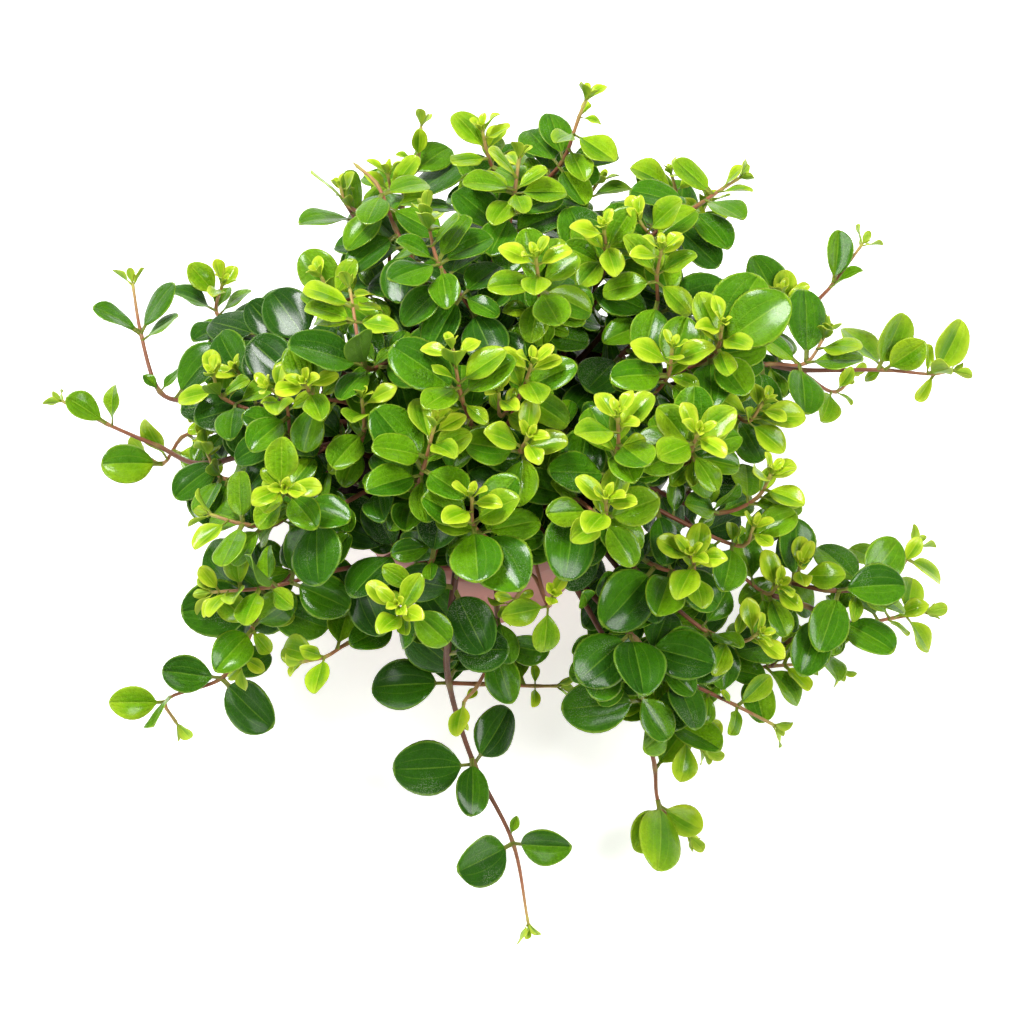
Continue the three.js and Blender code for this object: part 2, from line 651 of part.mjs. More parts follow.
// Whether two leaves clear each other
function leavesAreClear(a, b) {
  if (a.middle.distanceTo(b.middle) > (a.reach + b.reach) * 0.62) return true;
  const sameWhorl = a.stem === b.stem && a.vertex === b.vertex;
  const sameTier = sameWhorl && a.tier === b.tier;
  const startA = sameTier ? a.petiole * 1.2 : 0;
  const startB = sameTier ? b.petiole * 1.2 : 0;
  const gap = sameWhorl ? LEAF.clearance * 0.75 : LEAF.clearance;
  if (b.traces.some((line) => lineMeetsLeaf(line, a, gap, LEAF.rim, startA))) return false;
  return !a.traces.some((line) => lineMeetsLeaf(line, b, gap, LEAF.rim, startB));
}

// First way of holding a leaf that is clear, or null
function settleLeaf(leaf, stems, settled, first = 0) {
  for (let attempt = first; attempt < LEAF.tries; attempt += 1) {
    const held = { ...holdLeaf(leaf, attempt), source: leaf, attempt };
    held.traces = traceLeaf(held);
    held.middle = bladePoint(held, held.reach * 0.55, 0);
    if (Math.abs(held.along.dot(held.axis)) > LEAF.closest) continue;
    if (!clearsPot(held)) continue;
    if (!clearsStems(held, stems)) continue;
    if (settled.every((other) => leavesAreClear(held, other))) return held;
  }
  return null;
}

// Frames carried along a stem without twist: tangent, side and up at each point
function framesAlong(points) {
  const last = points.length - 1;
  let up = new THREE.Vector3(0, 1, 0);
  return points.map((point, i) => {
    const tangent = points[Math.min(i + 1, last)].clone().sub(points[Math.max(i - 1, 0)]).normalize();
    up = up.clone().addScaledVector(tangent, -tangent.dot(up)).normalize();
    return { tangent, up, side: up.clone().cross(tangent) };
  });
}

// Point of a stem at a distance before or after one of its vertices
function slide(points, i, shift) {
  const next = points[shift < 0 ? i - 1 : i + 1];
  return points[i].clone().addScaledVector(next.clone().sub(points[i]).normalize(), Math.abs(shift));
}

// Angle of a direction round a stem, in the frame at one of its points
function angleRound(frame, direction) {
  return Math.atan2(direction.dot(frame.up), direction.dot(frame.side));
}

const turnBetween = (a, b) => Math.atan2(Math.sin(b - a), Math.cos(b - a));

// Turn of a three-cornered ring whose faces look along a tier's leaves,
// with the face that each leaf takes
function turnTier(frame, leaves) {
  const third = Math.PI * 2 / 3;
  const angles = leaves.map((leaf) => angleRound(frame, leaf.along));
  let best = null;
  for (let i = 0; i < 24; i += 1) {
    const turn = i / 24 * third;
    const faces = angles.map((angle) => (Math.round((angle - turn) / third - 0.5) + 6) % 3);
    const off = angles.map((angle, j) => turnBetween(turn + third * (faces[j] + 0.5), angle));
    const clash = new Set(faces).size < faces.length ? 100 : 0;
    const cost = clash + off.reduce((sum, value) => sum + value * value, 0);
    if (!best || cost < best.cost) best = { turn, faces, cost };
  }
  return best;
}

// Shares of the blade's length at which a leaf has a cross-section
function leafStations(leaf) {
  if (leaf.reach > LEAF.large && leaf.kind === "seen") return [0, 0.34, 0.8];
  return leaf.reach > LEAF.small ? [0.3, 0.78] : [0.6];
}

// Closed skin of a shoot: a three-sided stem whose faces run on into the leaves
function shootSkin(stem, leaves) {
  const { points, radii } = stem;
  const frames = framesAlong(points);
  const last = points.length - 1;
  const corners = [points[0].clone(), points[last].clone()];
  const triangles = [];
  const third = Math.PI * 2 / 3;
  const corner = (point) => corners.push(point) - 1;
  const add = (a, b, c) => {
    if (a !== b && b !== c && c !== a) {
      triangles.push(a, b, c);
      owners.push(owner);
    }
  };
  const owners = [];
  let owner = null;
  const bridge = (from, to) => from.forEach((a, i) => {
    const j = (i + 1) % from.length;
    if (i % 2 === 0) {
      add(a, from[j], to[j]);
      add(a, to[j], to[i]);
    } else {
      add(a, from[j], to[i]);
      add(from[j], to[j], to[i]);
    }
  });
  let turn = 0;
  const ring = (i, shift, wanted) => {
    if (wanted !== undefined) turn = wanted + third * Math.round((turn - wanted) / third);
    const middle = slide(points, i, shift);
    return [0, 1, 2].map((k) => corner(middle.clone()
      .addScaledVector(frames[i].side, Math.cos(turn + k * third) * radii[i])
      .addScaledVector(frames[i].up, Math.sin(turn + k * third) * radii[i])));
  };
  let before = [0, 0, 0];
  const join = (next) => {
    const span = (a, b) => corners[a].distanceTo(corners[b]);
    const cost = (shift) => next.reduce((sum, _, k) => sum
      + span(before[(k + shift) % 3], next[(k + 1 - shift) % 3]), 0);
    const forward = cost(0) < cost(1);
    before.forEach((a, k) => {
      const m = (k + 1) % 3;
      add(a, before[m], forward ? next[m] : next[k]);
      add(forward ? a : before[m], next[m], next[k]);
    });
    before = next;
  };
  join(ring(0, stem.entry.joins ? STEM.sunk : SOIL.toe));
  for (let i = 1; i < last; i += 1) {
    const tiers = [2, 1, 0].map((tier) => leaves.filter((leaf) => leaf.vertex === i && leaf.tier === tier));
    if (tiers[2].length === 0) tiers[2] = null;
    tiers.forEach((tier, j) => {
      if (tier === null) join(ring(i, 0));
      if (!tier || tier.length === 0) return;
      const shift = -(2 - j) * LEAF.tierStep;
      const fit = turnTier(frames[i], tier);
      join(ring(i, shift - LEAF.nodeHalf, fit.turn));
      const offset = Math.round((fit.turn - turn) / third);
      const low = before;
      const high = ring(i, shift + LEAF.nodeHalf);
      low.forEach((a, k) => {
        const m = (k + 1) % 3;
        const face = (((k - offset) % 3) + 3) % 3;
        owner = tier[fit.faces.indexOf(face)] ?? null;
        if (owner) leafSkin(owner, [a, low[m], high[m], high[k]], corners, corner, bridge);
        else {
          add(a, low[m], high[m]);
          add(a, high[m], high[k]);
        }
        owner = null;
      });
      before = high;
    });
  }
  join([1, 1, 1]);
  return { stem, corners, triangles, owners };
}

// Whether the stretch from a to b passes through a face
function pierces(a, b, face) {
  const length = a.distanceTo(b);
  const ray = new THREE.Ray(a, b.clone().sub(a).divideScalar(length));
  const hit = ray.intersectTriangle(...face.points, false, new THREE.Vector3());
  return hit !== null && hit.distanceTo(a) < length;
}

// Faces of a skin, each with the leaf it belongs to, if any
function facesOf(skin) {
  const { stem } = skin;
  return skin.owners.map((owner, i) => {
    const points = skin.triangles.slice(i * 3, i * 3 + 3).map((id) => skin.corners[id]);
    return { owner, stem, points, box: new THREE.Box3().setFromPoints(points) };
  });
}

// Whether two faces cross anywhere but at a shared corner
function facesCross(a, b) {
  if (!a.box.intersectsBox(b.box)) return false;
  const edgeMeets = (from, to) => from.points.some((start, k) => {
    const end = from.points[(k + 1) % 3];
    return !to.points.includes(start) && !to.points.includes(end) && pierces(start, end, to);
  });
  return edgeMeets(a, b) || edgeMeets(b, a);
}

// Leaves whose faces cross others, one of each pair: the one that shows less
function crossedLeaves(skins) {
  const rank = { lower: 0, tip: 1, seen: 2 };
  const faces = skins.flatMap(facesOf).sort((a, b) => a.box.min.x - b.box.min.x);
  const crossed = new Set();
  faces.forEach((a, i) => {
    for (let j = i + 1; j < faces.length && faces[j].box.min.x <= a.box.max.x; j += 1) {
      const b = faces[j];
      const pair = [a.owner, b.owner].filter((leaf) => leaf);
      if (pair.length === 1 && a.stem !== b.stem && a.stem.family === b.stem.family) continue;
      if (pair.length === 0 || pair.some((leaf) => crossed.has(leaf)) || !facesCross(a, b)) continue;
      crossed.add(pair.sort((one, other) => rank[one.kind] - rank[other.kind])[0]);
    }
  });
  return crossed;
}

// Runs a stem's face out into a leaf: a blade folded along its rib
function leafSkin(leaf, face, corners, corner, bridge) {
  const thick = LEAF.thickness / 2;
  let before = face;
  leafStations(leaf).forEach((t, station) => {
    const u = mix(leaf.petiole, leaf.reach, t);
    const half = halfWidth(leaf, u);
    const section = [
      corner(bladePoint(leaf, u, 0, -thick)), corner(bladePoint(leaf, u, half)),
      corner(bladePoint(leaf, u, 0, thick)), corner(bladePoint(leaf, u, -half)),
    ];
    let turned = section;
    if (station === 0) {
      const cost = (r) => face.reduce((sum, a, i) => sum
        + corners[a].distanceToSquared(corners[section[(i + r) % 4]]), 0);
      const best = [0, 1, 2, 3].reduce((a, b) => (cost(b) < cost(a) ? b : a));
      turned = section.map((_, i) => section[(i + best) % 4]);
    }
    bridge(before, turned);
    before = section;
  });
  const tip = corner(bladePoint(leaf, leaf.reach, 0));
  bridge(before, [tip, tip, tip, tip]);
}

// Leaves that are seen at a stem's stations, aimed at their pixels
function seenLeaves(stem) {
  const leaves = [];
  stem.nodes.forEach((node, order) => {
    const fromTip = stem.nodes.length - 1 - order;
    const root = stem.points[node.vertex];
    const facing = facingAt(stem, node.vertex);
    node.leaves.forEach((pixel, i) => {
      const level = onRay(pixel, root.z);
      const lean = LEAF.leans[Math.min(fromTip, LEAF.leans.length - 1)] * degrees;
      const away = level.distanceTo(root);
      const middle = onRay(pixel, root.z + away * Math.tan(lean));
      const direction = middle.sub(root);
      const reach = clamp(direction.length() / LEAF.middle, LEAF.tipLength, LEAF.longest);
      const id = stem.index * 100 + order * 10 + i;
      leaves.push(leafFrom(stem, node.vertex, direction, reach, facing, id, "seen"));
    });
  });
  return leaves;
}

// Which way a whorl faces: between the stem's own direction and straight up
function facingAt(stem, vertex) {
  const { points } = stem;
  const after = points[Math.min(vertex + 1, points.length - 1)];
  const along = after.clone().sub(points[vertex - 1]).normalize();
  return along.lerp(new THREE.Vector3(0, 0, 1), LEAF.upward).normalize();
}

// Unit vector across an axis, at an angle round it
function around(axis, angle) {
  const side = new THREE.Vector3(0, 1, 0).cross(axis).normalize();
  const other = axis.clone().cross(side);
  return side.multiplyScalar(Math.cos(angle)).addScaledVector(other, Math.sin(angle));
}

// Small leaves that stand round a shoot's tip
function tipLeaves(stem) {
  const vertex = stem.points.length - 2;
  const axis = stem.points[vertex + 1].clone().sub(stem.points[vertex]).normalize();
  const start = draw(stem.index, 7) * 360;
  return [0, 1].map((i) => {
    const direction = around(axis, (start + i * 160) * degrees)
      .multiplyScalar(Math.sin(LEAF.tipOpening * degrees))
      .addScaledVector(axis, Math.cos(LEAF.tipOpening * degrees));
    const reach = LEAF.tipLength * mix(0.9, 1.35, draw(stem.index, 11 + i));
    return leafFrom(stem, vertex, direction, reach, axis, stem.index * 100 + 90 + i, "tip");
  });
}

// Whorls that carry on along the stem behind the ones that are seen
function lowerLeaves(stem) {
  const leaves = [];
  const { points, far } = stem;
  const first = stem.nodes[0].vertex;
  let last = far[first];
  let count = 0;
  for (let i = first - 1; i > 1 && count < WHORL.most; i -= 1) {
    if (far[i] - last < WHORL.spacing) continue;
    if (Math.hypot(points[i].x, points[i].y) > WHORL.reach) continue;
    if (points[i].z < SOIL.top + WHORL.lowest) continue;
    last = far[i];
    count += 1;
    const facing = facingAt(stem, i);
    const start = draw(stem.index, 31) * 360 + count * WHORL.turn;
    for (let j = 0; j < WHORL.leaves; j += 1) {
      const id = stem.index * 100 + 50 + count * 10 + j;
      const tilt = mix(-4, 16, draw(id, 5)) * degrees;
      const direction = around(facing, (start + j * 120 + 20 * draw(id, 6)) * degrees)
        .multiplyScalar(Math.cos(tilt)).addScaledVector(facing, Math.sin(tilt));
      const grown = 1 - Math.exp(-far[i] / LEAF.growth);
      const reach = mix(LEAF.tipLength, LEAF.fullLength, grown) * mix(0.85, 1.12, draw(id, 8));
      leaves.push(leafFrom(stem, i, direction, reach, facing, id, "lower"));
    }
  }
  return leaves.filter((leaf) => !hidesPot(leaf));
}

// Shares a whorl's leaves out in tiers, so that no two in a tier are close, and
// roots each tier a little further back on the stem
function setTiers(stem, leaves) {
  const frames = framesAlong(stem.points);
  const tiers = new Map();
  for (const leaf of leaves) {
    const frame = frames[leaf.vertex];
    const held = holdLeaf(leaf, 0);
    const angle = angleRound(frame, held.along);
    if (!tiers.has(leaf.vertex)) tiers.set(leaf.vertex, [[], [], []]);
    const free = tiers.get(leaf.vertex).findIndex((tier) => tier.length < 3
      && tier.every((other) => Math.abs(turnBetween(other, angle)) > LEAF.tierAngle * degrees));
    if (free < 0) {
      leaf.tier = -1;
      continue;
    }
    tiers.get(leaf.vertex)[free].push(angle);
    leaf.tier = free;
    leaf.root = slide(stem.points, leaf.vertex, -free * LEAF.tierStep);
    leaf.axis = frame.tangent;
  }
  return leaves.filter((leaf) => leaf.tier >= 0);
}

// Whether a leaf would hang in the gap through which the pot is seen
function hidesPot(leaf) {
  const held = holdLeaf(leaf, 0);
  const [x, y] = pixelOf(bladePoint(held, held.reach * 0.58, 0));
  return Math.abs(x - WINDOW.x) < WINDOW.halfWidth && Math.abs(y - WINDOW.y) < WINDOW.halfHeight;
}

// Lathe profiles run from the axis out and back to it
function lathe(profile, sides) {
  const geometry = new THREE.LatheGeometry(profile.map(([r, z]) => new THREE.Vector2(r, z)), sides);
  geometry.rotateX(Math.PI / 2);
  return toSolid(geometry);
}

function toSolid(geometry) {
  geometry.deleteAttribute("normal");
  geometry.deleteAttribute("uv");
  const merged = mergeVertices(geometry, 1e-4);
  const solid = new wasm.Manifold(new wasm.Mesh({
    numProp: 3,
    vertProperties: new Float32Array(merged.attributes.position.array),
    triVerts: new Uint32Array(merged.index.array),
  }));
  return solid;
}

function potSolid() {
  const { height, rimRadius, baseRadius, bandHeight, wall, floor } = POT;
  const shelf = height - bandHeight;
  const profile = [
    [0, 0], [baseRadius - 1.5, 0], [baseRadius, 1.5],
    [potRadius(shelf), shelf], [rimRadius - 0.4, shelf + 0.6], [rimRadius, height - 0.5],
    [rimRadius - 0.5, height], [rimRadius - wall, height],
    [rimRadius - wall - 0.3, shelf + wall], [potRadius(shelf) - wall, shelf],
    [baseRadius - wall, floor], [0, floor],
  ];
  let pot = lathe(profile, POT.sides);
  for (let i = 0; i < POT.drainHoles; i += 1) {
    const hole = new THREE.CylinderGeometry(POT.drainRadius, POT.drainRadius, POT.floor * 3, 6);
    hole.rotateX(Math.PI / 2);
    const angle = (i + 0.5) / POT.drainHoles * Math.PI * 2;
    hole.translate(Math.cos(angle) * POT.drainCircle, Math.sin(angle) * POT.drainCircle, POT.floor / 2);
    pot = pot.subtract(toSolid(hole));
  }
  return pot;
}

function soilSolid(stems) {
  const gap = POT.wall + SOIL.clearance;
  const bottom = POT.floor + SOIL.clearance;
  const edge = potRadius(SOIL.top) - gap;
  const profile = [
    [0, bottom], [potRadius(bottom) - gap - 0.2, bottom], [edge, SOIL.top],
    [edge * 0.66, SOIL.top + SOIL.heap * 0.6], [0, SOIL.top + SOIL.heap],
  ];
  let soil = lathe(profile, SOIL.sides);
  const holes = stems.filter((stem) => !stem.entry.joins).map((stem) => {
    const radius = stem.radii[0] + SOIL.clearance * 2;
    const hole = new THREE.CylinderGeometry(radius, radius, SOIL.holeDepth + SOIL.collar * 2, 3);
    hole.rotateX(Math.PI / 2);
    hole.rotateZ(Math.PI / 2);
    hole.translate(stem.foot.x, stem.foot.y, SOIL.top + SOIL.collar - SOIL.holeDepth / 2);
    return toSolid(hole);
  });
  soil = soil.subtract(wasm.Manifold.union(holes));
  return soil;
}

// Solid of a shoot's skin
function skinSolid({ corners, triangles }) {
  return new wasm.Manifold(new wasm.Mesh({
    numProp: 3,
    vertProperties: new Float32Array(corners.flatMap((point) => point.toArray())),
    triVerts: new Uint32Array(triangles),
  }));
}

// Named mesh of a solid
function meshOf(name, solid, material) {
  const { vertProperties, triVerts } = solid.getMesh();
  const geometry = new THREE.BufferGeometry();
  geometry.setAttribute("position", new THREE.BufferAttribute(new Float32Array(vertProperties), 3));
  geometry.setIndex(Array.from(triVerts));
  geometry.computeVertexNormals();
  const mesh = new THREE.Mesh(geometry, material);
  mesh.name = name;
  return mesh;
}

const potPlastic = new THREE.MeshStandardMaterial({ color: 0x9a6458, roughness: 0.6, metalness: 0 });
const pottingSoil = new THREE.MeshStandardMaterial({ color: 0x2c2019, roughness: 0.95, metalness: 0 });
const foliage = new THREE.MeshStandardMaterial({ color: 0x3f7d1c, roughness: 0.35, metalness: 0 });

// Stems are laid in order, each in the first way that clears the ones before it
const stems = [];
SHOOTS.forEach((entry, index) => {
  const parent = stems.find((other) => other.entry.name === entry.joins);
  for (let attempt = 0; attempt < STEM.tries; attempt += 1) {
    const stem = layStem(entry, index, attempt, parent);
    if (!stemIsClear(stem, stems) || crossesItself(stem)) continue;
    stem.reachBox = new THREE.Box3().setFromPoints(stem.points);
    stems.push(stem);
    return;
  }
});

// Leaves are settled in order of how much they show
const settled = [];
for (const rule of [seenLeaves, tipLeaves, lowerLeaves]) {
  for (const stem of stems.filter((one) => rule === seenLeaves || !one.entry.bare)) {
    for (const leaf of setTiers(stem, rule(stem))) {
      const held = settleLeaf(leaf, stems, settled);
      if (held) settled.push(held);
    }
  }
}

// Skins are made again until none of their leaves cross
const skinEach = () => stems.map((stem) => shootSkin(stem,
  settled.filter((leaf) => leaf.stem === stem.index)));
let skins = skinEach();
for (let round = 0; round < LEAF.rounds; round += 1) {
  for (const leaf of crossedLeaves(skins)) {
    settled.splice(settled.indexOf(leaf), 1);
    const again = settleLeaf(leaf.source, stems, settled, leaf.attempt + 1);
    if (again) settled.push(again);
  }
  skins = skinEach();
}

const plant = new THREE.Group();
plant.add(meshOf("pot", potSolid(), potPlastic));
plant.add(meshOf("soil", soilSolid(stems), pottingSoil));
for (const stem of stems.filter((one) => !one.entry.joins)) {
  const parts = skins.filter((skin) => skin.stem.family === stem.family);
  const solid = wasm.Manifold.union(parts.map((skin) => skinSolid(skin)));
  plant.add(meshOf(`stem_${stem.entry.name}`, solid, foliage));
}

export default plant;
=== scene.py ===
"""A trailing peperomia in a round nursery pot: thick glossy leaves in whorls on
reddish stems that arch over the rim. Millimetres in the layout, metres in the scene."""
import math

import bmesh
import bpy
import numpy as np
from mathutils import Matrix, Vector
from mathutils.geometry import tessellate_polygon
from mathutils.kdtree import KDTree


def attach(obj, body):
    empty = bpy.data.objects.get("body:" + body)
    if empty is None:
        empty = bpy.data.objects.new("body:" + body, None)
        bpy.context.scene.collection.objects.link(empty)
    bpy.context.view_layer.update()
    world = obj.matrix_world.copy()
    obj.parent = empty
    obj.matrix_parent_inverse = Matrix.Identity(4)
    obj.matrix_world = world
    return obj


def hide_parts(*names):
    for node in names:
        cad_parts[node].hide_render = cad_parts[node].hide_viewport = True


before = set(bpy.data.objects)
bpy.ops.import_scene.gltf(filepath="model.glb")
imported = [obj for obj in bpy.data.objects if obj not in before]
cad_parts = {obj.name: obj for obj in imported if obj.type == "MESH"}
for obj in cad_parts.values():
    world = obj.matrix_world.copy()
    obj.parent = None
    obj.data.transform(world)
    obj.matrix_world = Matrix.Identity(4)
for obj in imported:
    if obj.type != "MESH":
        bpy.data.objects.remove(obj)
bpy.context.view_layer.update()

MM = 0.001

# ---- The plant's layout, with the named values of the part's source ----
POT = dict(height=91, rim=60, band=10, step=1.6, base=42, wall=1.4, floor=2,
           drain_holes=6, drain_radius=3.4, drain_circle=25)
SOIL = dict(top=80, heap=2.2, hole=7, collar=4, clearance=0.3, reach=46,
            drift=3.2, turn=2.4, rounds=60, share=0.36, inner=4)
CANOPY = dict(x=6, top=160, fall=88, radius=125, power=2.4, lowest=6)
VIEW = dict(elevation=65, distance=1050, frame=1024, width=399, x=11.3, height=13.5)
STEM = dict(taper=130, step=17, fine_step=3.5, bud=2.5, over=9, rim_zone=6,
            highest=16, swing=0.3, slip=1.8, tries=200)
LEAF = dict(tip=8, full=27, longest=30, growth=34, petiole=0.16, tries=26, middle=0.58,
            leans=(40, 26, 8, 0), upward=0.6, opening=38, tier_step=2.8, tier_angle=68)
WHORL = dict(spacing=17, leaves=3, turn=60, reach=104, lowest=6, most=3)
WINDOW = dict(x=503, y=592, half_x=62, half_y=26, edge=4)
DEPTHS = (0, 11, 28, 44, 56)

# ---- What the scene adds to the source's leaves ----
# How much older or younger than usual the leaves of a shoot look
TONE = dict(front_right_trailer=0.6, right_far=0.55, right_low_end=0.8, right_low_far=0.8,
            left_upper=1.3, left_dark=1.35, left_middle=1.35, left_lower=1.35,
            left_low_dark=1.3, left_inner=1.3, left_inner_high=1.3, left_front_inner=1.2,
            top_left_dark=1.25, top_middle_low=1.2, right_low=1.2, right_low_bud=1.25,
            front_right_middle=1.2, right_low_inner=1.2, front_right_outer=0.85,
            front_right_under=0.85, front_left_inner=1.15)
# Single leaves that the rules leave out: number, stem, root and middle as seen, reach
SINGLE = ((0, "front_trailer", (447, 682), (396, 682), 30),
          (2, "front_left_inner", (402, 622), (370, 644), 18),
          (3, "front_right_outer", (634, 700), (652, 736), 27),
          (4, "right_low", (752, 600), (794, 622), 26),
          (5, "right_low_far", (835, 562), (842, 590), 26),
          (6, "left_upper", (232, 316), (222, 350), 27),
          (7, "left_dark", (262, 380), (286, 432), 25))
# Shoots with one small pair of young leaves only
SLIM = ("left_far left_high left_low lower_left_trail front_trailer front_side front_middle "
        "front_bud front_right_dark right_up_tip top_back top_dark right_low_under "
        "front_right_low front_right_trailer back_right_high right_small top_left_pale").split()
# Young pairs: distance from the tip, shortest and longest reach, opening in degrees
YOUNG = ((2.5, 12, 15.5, 46), (6.5, 15, 19.5, 60), (12, 17, 22, 66))
FILL = dict(step=6, turns=8, lowest=12, upward=0.75, tilt=(-14, 30), reach=(14, 26),
            growth=30, sizes=((1.08, 0.9), (0.75, 0.6)))
# Corners, as seen, of the plant's dense part, outside which nothing is filled in
BODY = ((300, 190), (420, 150), (600, 130), (740, 190), (810, 290), (765, 430), (880, 540),
        (890, 640), (790, 710), (700, 765), (610, 700), (560, 655), (440, 650), (330, 620),
        (200, 610), (185, 480), (205, 325), (290, 300))
CLEAR = dict(leaf=2.3, stem_step=1.7, floor=4, rim_height=3, rim=2)
# First numbers of the added leaves' draws, by kind
SERIES = dict(stem=100, lower=50, tip=90, inner_bud=94, bud=97, young=8000, young_pair=1000,
              fill=20000, single=60000)


def shoot(name, lies, *places, joins=None, bare=False):
    """A shoot from its tip back towards the pot, by where it is seen. Each place is the
    pixel of a joint and then those of its leaves. A shoot lies at the heights of its
    places, or at one lift over the dome."""
    stations = [[tuple(map(int, pixel.split(","))) for pixel in place.split()]
                for place in places]
    return dict(name=name, lies=lies, stations=stations, joins=joins, bare=bare)


